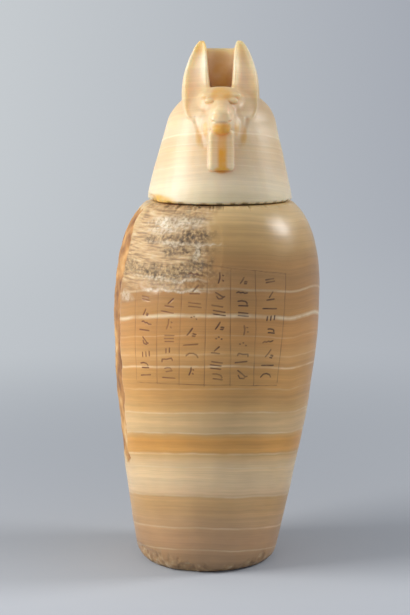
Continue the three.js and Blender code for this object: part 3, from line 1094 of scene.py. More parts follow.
    def sign_places(self) -> bpy.types.Object:
        """One point for each sign, with which sign, its turn and its size.

        Returns:
            A mesh of corners on the flat panel.
        """
        dice = np.random.default_rng(self.seed + 1)
        order = list(Sign)
        points, kinds, turns, sizes = [], [], [], []
        for column, signs in enumerate(self.columns):
            top = self.top_of(column)
            spans = np.array([self.height_of(sign) + self.sign_gap for sign in signs])
            spans *= (top - self.foot_z - self.foot_gap) / spans.sum()
            middles = top - np.cumsum(spans) + spans / 2
            for sign, z in zip(signs, middles):
                centre = (self.ruling(column, z) + self.ruling(column + 1, z)) / 2
                points.append((centre + dice.uniform(-1.2, 1.2), z + dice.uniform(-0.4, 0.4), 0.0))
                kinds.append(order.index(sign))
                turns.append(dice.uniform(-0.2, 0.2))
                sizes.append(dice.uniform(0.85, 1.25))
        mesh = bpy.data.meshes.new("sign_places")
        mesh.from_pydata(points, [], [])
        made = bpy.data.objects.new("sign_places", mesh)
        bpy.context.scene.collection.objects.link(made)
        for name, values in (("kind", kinds), ("turn", turns), ("size", sizes)):
            set_values(made, name, np.array(values, float))
        return made

    def height_of(self, sign: Sign) -> float:
        """How tall a sign is."""
        heights = [v for stroke in sign.value for _, v in stroke]
        return max(heights) - min(heights)

    def tree(self) -> bpy.types.NodeTree:
        """Builds the tree that lays the signs out on the flat panel and cuts them into a surface.

        Returns:
            The geometry tree, with named inputs.
        """
        tree = bpy.data.node_groups.new("cut_strokes", "GeometryNodeTree")
        for name, kind in (
            ("Geometry", "NodeSocketGeometry"),
            ("Sign places", "NodeSocketObject"),
            ("Ruled lines", "NodeSocketObject"),
            ("Signs", "NodeSocketCollection"),
            ("Stroke half width", "NodeSocketFloat"),
            ("Stroke depth", "NodeSocketFloat"),
            ("Pit depth", "NodeSocketFloat"),
            ("Material", "NodeSocketMaterial"),
        ):
            tree.interface.new_socket(name=name, in_out="INPUT", socket_type=kind)
        tree.interface.new_socket(name="Geometry", in_out="OUTPUT", socket_type="NodeSocketGeometry")
        given = add(tree, "NodeGroupInput")
        places = add(tree, "GeometryNodeObjectInfo", None, {0: given["Sign places"]})["Geometry"]
        rulings = add(tree, "GeometryNodeObjectInfo", None, {0: given["Ruled lines"]})["Geometry"]
        signs = add(tree, "GeometryNodeCollectionInfo", None, {0: given["Signs"], 1: True, 2: True})[0]
        named = {
            name: add(tree, "GeometryNodeInputNamedAttribute", {"data_type": "FLOAT"}, {0: name})[0]
            for name in ("kind", "turn", "size", Stone.PATCH.value, Stone.SCAR.value, Stone.HEEL.value)
        }
        pick = add(tree, "FunctionNodeFloatToInt", None, {0: named["kind"]})[0]
        turn = add(tree, "FunctionNodeAxisAngleToRotation", None, {0: (0.0, 0.0, 1.0), 1: named["turn"]})[0]
        dots = add(tree, "GeometryNodeMeshToPoints", None, {0: places})[0]
        written = add(
            tree, "GeometryNodeInstanceOnPoints", None,
            {0: dots, 2: signs, 3: True, 4: pick, 5: turn, 6: named["size"]},
        )[0]
        flat = add(tree, "GeometryNodeInputNamedAttribute", {"data_type": "FLOAT_VECTOR"}, {0: "panel"})[0]
        reach = add(
            tree, "ShaderNodeMath", {"operation": "ADD"}, {0: given["Stroke half width"], 1: self.fade}
        )[0]
        stored = given["Geometry"]
        cut = 0.0
        for lines, kind, share in (
            (written, Stone.STROKE, 1.0), (rulings, Stone.RULING, self.ruling_depth)
        ):
            real = add(tree, "GeometryNodeRealizeInstances", None, {0: lines})[0]
            gap = add(
                tree, "GeometryNodeProximity", {"target_element": "EDGES"}, {0: real, 2: flat}
            )["Distance"]
            stored = add(
                tree, "GeometryNodeStoreNamedAttribute", {"data_type": "FLOAT", "domain": "POINT"},
                {0: stored, "Name": kind.value, "Value": gap},
            )[0]
            full = add(
                tree, "ShaderNodeMath", {"operation": "MULTIPLY"}, {0: given["Stroke depth"], 1: share}
            )[0]
            part = add(
                tree, "ShaderNodeMapRange", {"interpolation_type": "SMOOTHSTEP"},
                {0: gap, 1: reach, 2: 0.0, 3: 0.0, 4: full},
            )[0]
            cut = add(tree, "ShaderNodeMath", {"operation": "MAXIMUM"}, {0: cut, 1: part})[0]
        spot = add(tree, "GeometryNodeInputPosition")[0]
        pits = 0.0
        for scale, share in self.pit_noise:
            noise = add(
                tree, "ShaderNodeTexNoise", None, {"Vector": spot, "Scale": scale, "Detail": 3.0}
            )[0]
            part = add(tree, "ShaderNodeMapRange", None, {0: noise, 1: 0.62, 2: 0.34, 3: 0.0, 4: share})[0]
            pits = add(tree, "ShaderNodeMath", {"operation": "ADD"}, {0: pits, 1: part})[0]
        harsh = add(
            tree, "ShaderNodeMath", {"operation": "MAXIMUM"},
            {0: named[Stone.PATCH.value], 1: named[Stone.SCAR.value]},
        )[0]
        harsh = add(
            tree, "ShaderNodeMath", {"operation": "MAXIMUM"}, {0: harsh, 1: named[Stone.HEEL.value]}
        )[0]
        pits = add(tree, "ShaderNodeMath", {"operation": "MULTIPLY"}, {0: pits, 1: given["Pit depth"]})[0]
        loss = add(tree, "ShaderNodeMath", {"operation": "MULTIPLY_ADD"}, {0: pits, 1: harsh, 2: cut})[0]
        inward = add(tree, "ShaderNodeMath", {"operation": "MULTIPLY"}, {0: loss, 1: -MM})[0]
        normal = add(tree, "GeometryNodeInputNormal")[0]
        offset = add(tree, "ShaderNodeVectorMath", {"operation": "SCALE"}, {0: normal, "Scale": inward})[0]
        moved = add(tree, "GeometryNodeSetPosition", None, {0: stored, "Offset": offset})[0]
        real = add(tree, "GeometryNodeRealizeInstances", None, {0: moved})[0]
        dressed = add(tree, "GeometryNodeSetMaterial", None, {0: real, "Material": given["Material"]})[0]
        add(tree, "NodeGroupOutput", None, {0: dressed})
        return tree

    def cut_into(self, body: bpy.types.Object, pit_depth: float, material: bpy.types.Material) -> None:
        """Cuts the strokes, and the pits of the worn places, into a mesh and gives it its material.

        Args:
            body: The jar's object, whose corners carry their place on the flat panel.
            pit_depth: Depth of the pits where the stone is worn, mm.
            material: The stone.
        """
        signs = bpy.data.collections.new("signs")
        made = [self.line_object(f"sign_{i:02d}", sign.value) for i, sign in enumerate(Sign)]
        for sign in made:
            signs.objects.link(sign)
        helpers = [*made, self.sign_places(), self.ruled_lines()]
        tree = self.tree()
        modifier = body.modifiers.new("cut_strokes", "NODES")
        modifier.node_group = tree
        values = {
            "Sign places": helpers[-2],
            "Ruled lines": helpers[-1],
            "Signs": signs,
            "Stroke half width": self.stroke_half,
            "Stroke depth": self.stroke_depth,
            "Pit depth": pit_depth,
            "Material": material,
        }
        for item in tree.interface.items_tree:
            if item.in_out == "INPUT" and item.name in values:
                modifier[item.identifier] = values[item.name]
        graph = bpy.context.evaluated_depsgraph_get()
        cut = bpy.data.meshes.new_from_object(body.evaluated_get(graph), depsgraph=graph)
        body.modifiers.remove(modifier)
        old = body.data
        body.data = cut
        cut.name = old.name
        bpy.data.meshes.remove(old)
        for helper in helpers:
            bpy.data.meshes.remove(helper.data)
        bpy.data.collections.remove(signs)
        bpy.data.node_groups.remove(tree)


# ---------------------------------------------------------------- jar


OFF_PANEL = 900.0  # where corners away from the outside stand on the flat panel, mm


def band_faces(start: int, rows: int, columns: int) -> list[tuple]:
    """Faces of a band of rows, each running round once.

    Args:
        start: Number of the first corner.
        rows: How many rows of corners there are.
        columns: How many corners each row has.

    Returns:
        The faces, row by row.
    """
    faces = []
    for row in range(rows - 1):
        low = start + row * columns
        for i in range(columns):
            j = (i + 1) % columns
            faces.append((low + i, low + j, low + columns + j, low + columns + i))
    return faces


@dataclass(frozen=True)
class Spot:
    """A place on the jar's outside where stone is lost or crumbled."""

    azimuth: float  # degrees from the front, positive to the viewer's right
    z: float
    half_angle: float
    half_height: float
    amount: float  # depth of a shallow dish in mm, or how strongly crumbled stone shows, 0 to 1


@dataclass
class Jar:
    """The hollow jar: a turned body whose axis leans, with its panel and its losses."""

    height: float = 279.7
    foot_radius: float = 47.5
    heel_radius: float = 55.1
    heel_z: float = 9.5
    belly_radius: float = 79.6
    belly_z: float = 199.0
    rim_radius: float = 56.2
    rim_bevel: float = 0.9
    mouth_radius: float = 40.0
    throat_depth: float = 15.0
    wall: float = 13.5
    floor: float = 18.0
    axis_x: float = 2.0
    lean: float = 9.8
    cavity_columns: int = 64
    pit_depth: float = 0.6
    inscription: Inscription = field(default_factory=Inscription)
    losses: tuple = (
        Spot(-84, 178, 19, 104, 0.8),
        Spot(-34, 250, 36, 30, 1.0),
        Spot(-16, 1, 9, 7, 1.6),
        Spot(-62, 3, 26, 12, 1.5),
    )
    crust: tuple = (
        Spot(-30, 282, 66, 4.6, 1.0),
        Spot(-18, 257.5, 16, 6.5, 0.95),
        Spot(-40, 254.5, 14, 3.6, 0.8),
        Spot(-22, 270, 11, 7.5, 0.6),
        Spot(-19, 248.5, 17, 5.5, 0.8),
        Spot(-36, 231.5, 38, 6.5, 0.85),
        Spot(-12, 237, 9, 8, 0.85),
        Spot(-58, 234, 10, 7, 0.7),
        Spot(-22, 223.5, 24, 4.5, 0.45),
    )
    bloom: tuple = (
        Spot(-30, 267.5, 20, 5.4, 0.95),
        Spot(-38, 260.5, 14, 2.6, 0.6),
        Spot(-24, 252.6, 26, 1.2, 0.8),
        Spot(-11.5, 247.5, 1.6, 7, 0.9),
        Spot(-32, 226.6, 26, 1.4, 0.7),
        Spot(-24, 219.2, 22, 1.2, 0.7),
        Spot(-58, 212, 7, 5, 0.5),
    )
    patch_right: tuple = ((214, 220, 236, 240, 262, 280), (-26, -12, -7, -6, -5, -3))  # heights, azimuths
    patch_low: tuple = ((-66, -40, -25, -8), (217, 219, 219, 233))  # azimuths, heights
    patch_left: float = -68.0
    scar_right: tuple = ((82, 90, 130, 169, 207, 236, 252, 268), (-62, -66, -64, -65, -66.5, -65, -64, -70))
    scar_left: float = -104.0
    scar_ends: tuple = (84.0, 272.0)
    degree: float = 1.36  # length of one degree round the belly, mm

    def axis(self, z: Array) -> Array:
        """X of the axis at a height."""
        return self.axis_x - self.lean * np.maximum(0, 1 - z / self.height) ** 1.2

    def outside(self) -> Array:
        """The outer profile from foot to rim, closely spaced.

        Returns:
            Its (radius, height) points.
        """
        heel = [(self.foot_radius, 0.0)]
        a, b, c = (self.foot_radius, 0), (self.heel_radius - 1.5, 1), (self.heel_radius, self.heel_z)
        for t in np.linspace(0, 1, 13)[1:]:
            heel.append(tuple(a[i] * (1 - t) ** 2 + 2 * b[i] * t * (1 - t) + c[i] * t * t for i in (0, 1)))
        belly = (self.belly_radius, self.belly_z)
        rim = (self.rim_radius, self.height - self.rim_bevel)
        flare = (self.heel_radius + 9.2, self.heel_z + 53)
        lower = bezier(heel[-1], flare, (self.belly_radius, self.belly_z - 66), belly, 300)
        shoulder = (self.rim_radius + 18, self.height - 16)
        upper = bezier(belly, (self.belly_radius, self.belly_z + 38), shoulder, rim, 200)
        return np.array([*heel, *lower, *upper])

    def rows(self) -> Array:
        """The outer profile at the mesh's rows: close together at the panel and the shoulder.

        Returns:
            One (radius, height) point for each row.
        """
        profile = self.outside()
        run = np.concatenate([[0], np.cumsum(np.linalg.norm(np.diff(profile, axis=0), axis=1))])
        heights = [0, 22, 30, 138, 146, 244, 256, 279]
        spacing = np.interp(profile[:, 1], heights, [1.0, 1.1, 1.9, 1.9, 0.78, 0.78, 0.95, 0.95])
        step = np.concatenate([[0], np.cumsum(np.diff(run) / ((spacing[1:] + spacing[:-1]) / 2))])
        even = np.linspace(0, step[-1], int(step[-1]))
        return np.stack([np.interp(even, step, profile[:, i]) for i in (0, 1)], axis=1)

    def columns(self) -> Array:
        """The mesh's columns: close together at the panel, wide apart at the back.

        Returns:
            Their azimuths in degrees.
        """
        sweep = np.linspace(-180, 180, 3601)
        places = [-130, -98, -56, -50, 41, 46, 95, 130]
        spacing = np.interp(sweep, places, [2.6, 1.05, 0.88, 0.56, 0.56, 1.0, 1.3, 2.6])
        step = np.concatenate([[0], np.cumsum(np.diff(sweep) / ((spacing[1:] + spacing[:-1]) / 2))])
        return np.interp(np.linspace(0, step[-1], int(step[-1]) + 1), step, sweep)[:-1]

    def loss(self, azimuth: Array, z: Array) -> Array:
        """Depth of the stone lost.

        Args:
            azimuth: Degrees from the front.
            z: Heights.

        Returns:
            The depth at each place, mm.
        """
        depth = np.zeros(np.broadcast(azimuth, z).shape)
        for dish in self.losses:
            u = (azimuth - dish.azimuth) / dish.half_angle
            v = (z - dish.z) / dish.half_height
            depth = np.maximum(depth, dish.amount * np.sqrt(np.maximum(0, 1 - u * u - v**4)))
        return depth

    def masks(self, azimuth: Array, z: Array, arc: Array) -> dict[Stone, Array]:
        """Where the stone is eaten, flaked and worn.

        Args:
            azimuth: Degrees from the front.
            z: Heights.
            arc: Places across, in millimetres.

        Returns:
            One mask of 0 to 1 for each kind of damage.
        """
        places = (arc, z)
        ragged = wander(places, 16, 3) * 2.2 + wander(places, 5, 4) * 1.1
        right = np.interp(z, *self.patch_right) * self.degree
        low = np.interp(azimuth, *self.patch_low)
        inner = np.minimum(right - arc + ragged, z - low + ragged)
        inner = np.minimum(inner, (azimuth - self.patch_left) * self.degree + ragged)
        patch = soft_step(-3.0, 8.0, inner)
        edge = np.interp(z, *self.scar_right)
        inward = (edge - azimuth) * self.degree + ragged * 0.5
        behind = (azimuth - self.scar_left) * self.degree + ragged * 2
        flank = np.minimum(inward, behind)
        flank = np.minimum(flank, np.minimum(z - self.scar_ends[0], self.scar_ends[1] - z) + ragged)
        scar = soft_step(-0.5, 0.8, flank)
        foot = 6 + 7 * np.exp(-(((azimuth + 46) / 34) ** 2)) + 3 * np.exp(-(((azimuth - 52) / 16) ** 2))
        heel = soft_step(-3.5, 3.5, foot - z + ragged * 1.8) * 0.6
        crust, bloom = (
            self.spotted(spots, azimuth, z, ragged * 1.3) * (1 - scar) for spots in (self.crust, self.bloom)
        )
        return {
            Stone.PATCH: patch * (1 - scar), Stone.SCAR: scar, Stone.HEEL: heel,
            Stone.CRUST: crust, Stone.BLOOM: bloom * (1 - 0.6 * crust),
        }

    def spotted(self, spots: Sequence[Spot], azimuth: Array, z: Array, shaken: Array) -> Array:
        """How strongly soft-edged spots show at each place.

        Args:
            spots: The spots.
            azimuth: Degrees from the front.
            z: Heights.
            shaken: What their edges wander by.

        Returns:
            A mask of 0 to 1.
        """
        mask = np.zeros(azimuth.shape)
        for spot in spots:
            across = (azimuth - spot.azimuth + shaken * 0.9) / spot.half_angle
            away = np.hypot(across, (z - spot.z + shaken * 0.35) / spot.half_height)
            mask = np.maximum(mask, spot.amount * soft_step(1.25, 0.55, away))
        return mask

    def chipped_rim(self, azimuth: Array, z: Array) -> Array:
        """How far the edge under the lid is broken back.

        Args:
            azimuth: Degrees from the front.
            z: Heights.

        Returns:
            The depth at each place, mm.
        """
        uneven = wander((azimuth,), 7, 21) + 0.6 * wander((azimuth,), 2.2, 22)
        bite = np.maximum(0, uneven - 0.1) * 1.7 + 0.35
        bite = bite + 1.6 * np.exp(-(((azimuth + 58) / 22) ** 2))
        return bite * soft_step(self.height - 2.2 - bite, self.height - 0.4, z)

    def build(self, stone: bpy.types.Material) -> bpy.types.Object:
        """Makes the jar's closed skin, its damage and its strokes.

        Args:
            stone: The jar's material.

        Returns:
            The finished object.
        """
        rows = self.rows()
        turn = self.columns()
        azimuth, radius = np.meshgrid(turn, rows[:, 0])
        z = np.repeat(rows[:, 1][:, None], len(turn), axis=1)
        arc = np.radians(azimuth) * self.inscription.reference_radius
        masks = self.masks(azimuth, z, arc)
        radius = radius - self.worn_back(azimuth, z, arc, masks)
        angle = np.radians(azimuth)
        outer = np.stack([radius * np.sin(angle) + self.axis(z), -radius * np.cos(angle), z], axis=-1)
        points, faces = self.skin(turn, outer)
        body = mesh_object("jar_body", points, faces)
        spare = len(points) - arc.size
        for kind, mask in masks.items():
            set_values(body, kind.value, np.concatenate([mask.ravel(), np.zeros(spare)]))
        panel = np.stack([arc.ravel(), z.ravel(), np.zeros(arc.size)], axis=1)
        set_values(body, "panel", np.concatenate([panel, np.full((spare, 3), OFF_PANEL)]))
        self.inscription.cut_into(body, self.pit_depth, stone)
        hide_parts("jar")
        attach(body, "root")
        return body

    def worn_back(self, azimuth: Array, z: Array, arc: Array, masks: dict[Stone, Array]) -> Array:
        """How far the outside lies behind the turned shape.

        Args:
            azimuth: Degrees from the front.
            z: Heights.
            arc: Places across, in millimetres.
            masks: Where the stone is eaten, flaked and worn.

        Returns:
            The depth at each place, mm; none at the back's seam apart from the dishes.
        """
        places = (arc, z)
        uneven = 0.18 * wander(places, 42, 5) + 0.08 * wander(places, 15, 6)
        humps = 0.25 * wander(places, 12, 7) + 0.3 * wander((arc * 0.25, z), 4, 8)
        eaten = masks[Stone.PATCH] * (0.4 + humps)
        flaked = masks[Stone.SCAR] * (0.35 + 0.25 * wander(places, 14, 9))
        footworn = masks[Stone.HEEL] * (0.35 + 0.4 * wander(places, 8, 10))
        closed = soft_step(180, 150, np.abs(azimuth))
        away = self.loss(azimuth, z) + closed * (uneven + np.maximum(0, eaten) + np.maximum(0, flaked))
        away = away + closed * np.maximum(0, footworn) + self.chipped_rim(azimuth, z) * closed
        return away * soft_step(-0.5, 1.5, z)

    def skin(self, turn: Array, outer: Array) -> tuple[Array, list[tuple]]:
        """Closes the outside with the underside, the rim's flat top and the hollow.

        Args:
            turn: Azimuths of the outside's columns, degrees.
            outer: Points of the outside, by row and column.

        Returns:
            All points, the outside's first, and the faces.
        """
        rows, count = outer.shape[:2]
        total = rows * count
        columns = self.cavity_columns
        rings = self.inner_rings()
        inner_start = total + 1
        last = inner_start + (len(rings) - 1) * columns
        spread = np.linspace(-180, 180, columns, endpoint=False)
        points = [outer.reshape(-1, 3), np.array([[float(self.axis(0.0)), 0.0, 0.0]])]
        for r, level in rings:
            x = r * np.sin(np.radians(spread)) + self.axis(level)
            y = -r * np.cos(np.radians(spread))
            points.append(np.stack([x, y, np.full(columns, level)], axis=1))
        points.append(np.array([[float(self.axis(self.floor)), 0.0, self.floor]]))
        faces = band_faces(0, rows, count)
        faces += [(total, (i + 1) % count, i) for i in range(count)]
        faces += self.bridge((rows - 1) * count, turn, inner_start, spread)
        faces += band_faces(inner_start, len(rings), columns)
        faces += [(last + i, last + (i + 1) % columns, last + columns) for i in range(columns)]
        return np.concatenate(points), faces

    def inner_rings(self) -> list[tuple[float, float]]:
        """The hollow's profile from the mouth down to the floor.

        Returns:
            Its (radius, height) points.
        """
        floor_radius = self.heel_radius - self.wall - 1
        inside = self.belly_radius - self.wall
        corner = (floor_radius, self.floor + 9)
        belly = (inside, self.belly_z)
        throat = (self.mouth_radius, self.height - self.throat_depth)
        flare = (floor_radius + 9, self.floor + 50)
        shoulder = (self.mouth_radius + 20, throat[1] - 4)
        rising = [corner]
        rising += bezier(corner, flare, (inside, self.belly_z - 66), belly, 12)
        rising += bezier(belly, (inside, self.belly_z + 32), shoulder, throat, 12)
        rings = [(self.mouth_radius + 1, self.height), (self.mouth_radius, self.height - 1), *rising[::-1]]
        return [*rings, (floor_radius - 3, self.floor + 2.2), (floor_radius - 8, self.floor)]

    def bridge(self, outer_start: int, outer: Array, inner_start: int, inner: Array) -> list[tuple]:
        """Triangles across the rim's flat top, from many outer columns to few inner ones.

        Args:
            outer_start: Number of the outer ring's first corner.
            outer: Its azimuths.
            inner_start: Number of the inner ring's first corner.
            inner: Its azimuths.

        Returns:
            The faces.
        """
        faces = []
        i = 0
        j = 0
        while i < len(outer) or j < len(inner):
            next_outer = outer[i + 1] if i + 1 < len(outer) else 180.0 if i < len(outer) else 1e9
            next_inner = inner[j + 1] if j + 1 < len(inner) else 180.0 if j < len(inner) else 1e9
            a = outer_start + i % len(outer)
            b = inner_start + j % len(inner)
            if next_outer <= next_inner:
                faces.append((a, outer_start + (i + 1) % len(outer), b))
                i += 1
            else:
                faces.append((a, inner_start + (j + 1) % len(inner), b))
                j += 1
        return faces


# ---------------------------------------------------------------- lid


THINNEST = 0.3  # least half size of a cut, mm, so that nothing is divided by zero


def sizes_of(cuts: Sequence, *names: str) -> list[Array]:
    """One array for each named size of a row of cuts."""
    return [np.array([getattr(cut, name) for cut in cuts]) for name in names]


@dataclass(frozen=True)
class Level:
    """A level cut through an ear or the throat."""

    z: float
    x: float
    half_width: float
    front: float
    back: float


@dataclass(frozen=True)
class Upright:
    """An upright cut through the snout."""

    y: float
    z: float
    half_width: float
    half_height: float


def cut_leaf(cuts: Sequence[Level], side: int, outer: float, inner: float) -> Shape:
    """A smooth skin over level cuts.

    Args:
        cuts: The cuts from the lowest to the highest.
        side: 1 for the viewer's right, -1 for the left.
        outer: Power of a cut's outer half: 2 for an ellipse, more for a squarer oval.
        inner: Power of its inner half.

    Returns:
        A level that is 0 on its surface, to be evened into distances.
    """
    heights, x0, width, front, back = sizes_of(cuts, "z", "x", "half_width", "front", "back")

    def level(x: Array, y: Array, z: Array) -> Array:
        """Level of the skin.

        Args:
            x: Places across.
            y: Places front to back.
            z: Heights.

        Returns:
            Its level at each place.
        """
        centre, half, near, far = (smooth_curve(z, heights, v) for v in (x0, width, front, back))
        half = np.maximum(half, THINNEST)
        out = (side * x - centre) / half
        deep = np.maximum((far - near) / 2, THINNEST)
        behind = np.abs((y - (near + far) / 2) / deep)
        halves = [(np.abs(out) ** p + behind**p) ** (1 / p) for p in (outer, inner)]
        oval = (np.where(out > 0, *halves) - 1) * np.minimum(half, deep)
        return np.maximum(oval, np.maximum(heights[0] - z, z - heights[-1]) + 0 * x)

    return level


@dataclass
class Lid:
    """The lid: a bell-shaped wig with the jackal's head, ears and chin strut carved from one block."""

    skirt_radius: float = 55.4
    skirt_bevel: float = 1.2
    shoulder_radius: float = 41.2
    shoulder_z: float = 59.5
    crown_z: float = 86.0
    plug_radius: float = 38.4
    plug_depth: float = 13.0
    x: float = 2.6
    crown_lean: float = 2.4
    head_x: float = 0.5
    ear_hollow: float = 3.4
    ear_powers: tuple = (2.4, 5)  # rounded outside, upright and square towards the pocket
    throat_powers: tuple = (3, 3)
    pocket_floor: float = 82.5
    pocket_height: float = 33.5
    pocket_half: float = 7.2
    pocket_flare: float = 3.7  # how much wider each side is at the pocket's top
    pocket_front: float = -18.5
    pocket_back: float = 2.0
    face_blend: float = 4.5
    wig_blend: float = 1.2
    crease_reach: tuple = (2.6, 1.3)
    bridge: float = 0.34
    ear: tuple = (
        Level(60.5, 20.3, 2, -35.6, -24),
        Level(63, 20.2, 5, -36.2, -16),
        Level(69, 20, 8.4, -32, 0),
        Level(77, 19.4, 9.9, -23.6, 9),
        Level(86, 18.6, 10.4, -17, 11),
        Level(95, 18.3, 9.4, -12.6, 10.5),
        Level(104, 17.2, 7.7, -9.4, 9.5),
        Level(112, 15.8, 5.6, -7, 8),
        Level(117, 14.8, 3.7, -5.6, 6),
        Level(119.8, 14.2, 1.7, -3.6, 3),
    )
    snout: tuple = (
        Upright(-20, 68, 11.5, 14),
        Upright(-35, 66.5, 10.6, 12.6),
        Upright(-43, 64, 9.5, 11.8),
        Upright(-51, 62.4, 8.7, 10.4),
        Upright(-56.5, 62, 7.9, 9.4),
        Upright(-59.6, 62, 5.8, 6.8),
        Upright(-60.8, 62, 2.6, 3.2),
    )
    throat: tuple = (
        Level(38, 0, 9, -43.5, -24),
        Level(42, 0, 10.6, -45.6, -24),
        Level(48, 0, 12.6, -47, -24),
        Level(57, 0, 14.6, -46.4, -24),
        Level(66, 0, 14, -38, -24),
    )
    chip: tuple = (-76, (26.0, 5.5, 4.0))  # azimuth and (length, height, depth), as in the nicks
    nick_count: int = 64
    nick_sizes: tuple = ((0.8, 0.4, 0.4), (3.6, 1.2, 1.5))
    front_nicks: tuple = (
        (10, (5.0, 1.6, 1.4)),
        (18, (4.0, 1.8, 1.9)),
        (25, (3.0, 1.4, 1.6)),
        (-8, (6.0, 1.2, 1.0)),
        (-30, (7.0, 1.4, 1.0)),
        (38, (4.0, 1.0, 0.9)),
    )
    seed: int = 5

    def wig_profile(self) -> list[tuple]:
        """The outline of the wig and the plug.

        Returns:
            Its (radius, height) points from the plug's underside to the crown.
        """
        skirt = (self.skirt_radius, self.skirt_bevel)
        shoulder = (self.shoulder_radius, self.shoulder_z)
        flare = (self.skirt_radius - 3.4, 20)
        under = (self.shoulder_radius + 3.2, self.shoulder_z - 13)
        over = (self.shoulder_radius - 3, self.shoulder_z + 12)
        return [
            (0, -self.plug_depth),
            (self.plug_radius - 1.5, -self.plug_depth),
            (self.plug_radius, 1.5 - self.plug_depth),
            (self.plug_radius, 0),
            (self.skirt_radius - self.skirt_bevel, 0),
            skirt,
            *bezier(skirt, flare, under, shoulder, 16),
            *bezier(shoulder, over, (23, self.crown_z), (0, self.crown_z), 20),
        ]

    def muzzle(self) -> Shape:
        """The snout from the face to the tip of the nose, narrower on top.

        Returns:
            A level that is 0 on its surface, to be evened into distances.
        """
        y0, z0, width, height = sizes_of(self.snout, "y", "z", "half_width", "half_height")
        along = -y0

        def level(x: Array, y: Array, z: Array) -> Array:
            """Level of the snout.

            Args:
                x: Places across.
                y: Places front to back.
                z: Heights.

            Returns:
                Its level at each place.
            """
            middle, half, tall = (smooth_curve(-y, along, values) for values in (z0, width, height))
            up = (z - middle) / tall
            jaw = soft_step(-44, -54, y) * 0.5
            narrower = self.bridge * np.clip(up, 0, 1.2)
            wider = (self.bridge - jaw) * np.clip(-up, 0, 1.2)
            wide = half * (1 - narrower + wider)
            oval = ((np.abs(x) / wide) ** 2.3 + np.abs(up) ** 2.3) ** (1 / 2.3) - 1
            return np.maximum(oval * np.minimum(half, tall), np.maximum(along[0] + y, -y - along[-1]))

        return level

    def shifted(self, shape: Shape) -> Shape:
        """A shape of the head, about the head's middle plane, moved to its place."""
        return lambda x, y, z: shape(x - self.head_x, y, z)

    def carve(self) -> Lattice:
        """Carves the lid out of its block.

        Returns:
            Distances about the lid's own axis, its underside at height 0.
        """
        x = spaced([-59, -27, -24, 26, 29, 59], [1.15, 1.1, 0.74, 0.74, 1.1, 1.15])
        y = spaced([-66, -30, -20, 14, 24, 60], [0.74, 0.74, 0.95, 0.95, 1.5, 1.5])
        z = spaced([-16, -2, -1, 34, 122, 124], [2.2, 2.2, 0.9, 0.85, 0.8, 0.8])
        stone = Lattice(x, y, z)
        everything = ((-80, -80, -20), (80, 80, 140))
        lean = self.crown_lean
        stone.blend_in(
            turned(self.wig_profile(), lambda h: lean * (np.maximum(h, 0) / self.crown_z) ** 2), *everything
        )
        head = Lattice(x, y, z)
        for side in (1, -1):
            box = ((side * 20 - 16, -46, 56), (side * 20 + 16, 16, 124))
            leaf = cut_leaf(self.ear, side, *self.ear_powers)
            head.blend_in(self.shifted(leaf), *box, 0, True)
            head.carve(self.shifted(self.ear_front(side)), *box, 0.7, True)
        back_wall = block((-13, 2, 74), (13, 10.5, 114.3), 0.8)
        head.blend_in(self.shifted(back_wall), (-18, -2, 70), (18, 14, 119))
        face = self.carve_face(Lattice(x, y, z))
        head.values = smooth_min(head.values, face.values, self.face_blend)
        strut = block((-9.3, -54.2, 25), (9.3, -36, 54), 2.6)
        head.blend_in(self.shifted(strut), (-13, -58, 22), (14, -32, 61), 1.2)
        stone.values = smooth_min(stone.values, head.values, self.wig_blend)
        self.cut_pocket(stone)
        self.cut_lines(stone)
        self.chip_edge(stone)
        return stone

    def carve_face(self, face: Lattice) -> Lattice:
        """Carves skull, snout, throat, chin, nose, brows and eyes.

        Args:
            face: An empty lattice.

        Returns:
            The same lattice, with the face in it.
        """
        skull = self.shifted(self.skull())
        face.blend_in(skull, (-26, -44, 50), (27, 4, 92), 0, True)
        face.blend_in(self.shifted(self.muzzle()), (-18, -66, 44), (19, -16, 88), 3.4, True)
        neck = cut_leaf(self.throat, 1, *self.throat_powers)
        face.blend_in(self.shifted(neck), (-20, -52, 34), (21, -20, 70), 3.0, True)
        chin = ellipsoid((0, -53.4, 57), (7.6, 7.4, 5.8))
        face.blend_in(self.shifted(chin), (-12, -66, 48), (13, -42, 66), 1.2)
        nose = ellipsoid((0, -57.4, 66.4), (6.2, 3.8, 3.4))
        face.blend_in(self.shifted(nose), (-11, -66, 60), (12, -48, 73), 1.6)
        for side in (1, -1):
            brow = ellipsoid((side * 8.4, -31.8, 79.2), (6.0, 2.9, 1.7))
            face.blend_in(self.shifted(brow), (side * 9 - 10, -40, 74), (side * 9 + 10, -24, 86), 3.4)
            eye = ellipsoid((side * 8.2, -35.8, 75.4), (4.2, 2.9, 2.2))
            face.blend_in(self.shifted(eye), (side * 8.4 - 8, -41, 70), (side * 8.4 + 8, -28, 81), 0.9)
            lid_line = [(side * 4.6, -38.6, 74.4), (side * 8.4, -37.4, 73.0), (side * 12.4, -33.6, 73.2)]
            low = (min(side * 16, side * 2), -43, 69)
            high = (max(side * 16, side * 2) + 1, -29, 79)
            face.carve(self.shifted(cord_of(lid_line, 0.35)), low, high, 0.5)
        return face

    def skull(self) -> Shape:
        """The top of the head: broad and nearly flat between the ears.

        Returns:
            A level that is 0 on its surface, to be evened into distances.
        """

        def level(x: Array, y: Array, z: Array) -> Array:
            """Level of the skull."""
            round_part = ((y + 20) / 17.5) ** 2 + (np.abs(z - 70.6) / 15.0) ** 2.3
            return (np.abs(x / 18.6) ** 2.5 + round_part) ** 0.5 * 15 - 15

        return level

    def ear_front(self, side: int) -> Shape:
        """What is cut from an ear's front: it falls back towards the outer edge and is dished.

        Args:
            side: 1 for the viewer's right, -1 for the left.

        Returns:
            A level that is 0 on the ear's front, to be evened into distances.
        """
        heights, x0, width, front = sizes_of(self.ear, "z", "x", "half_width", "front")

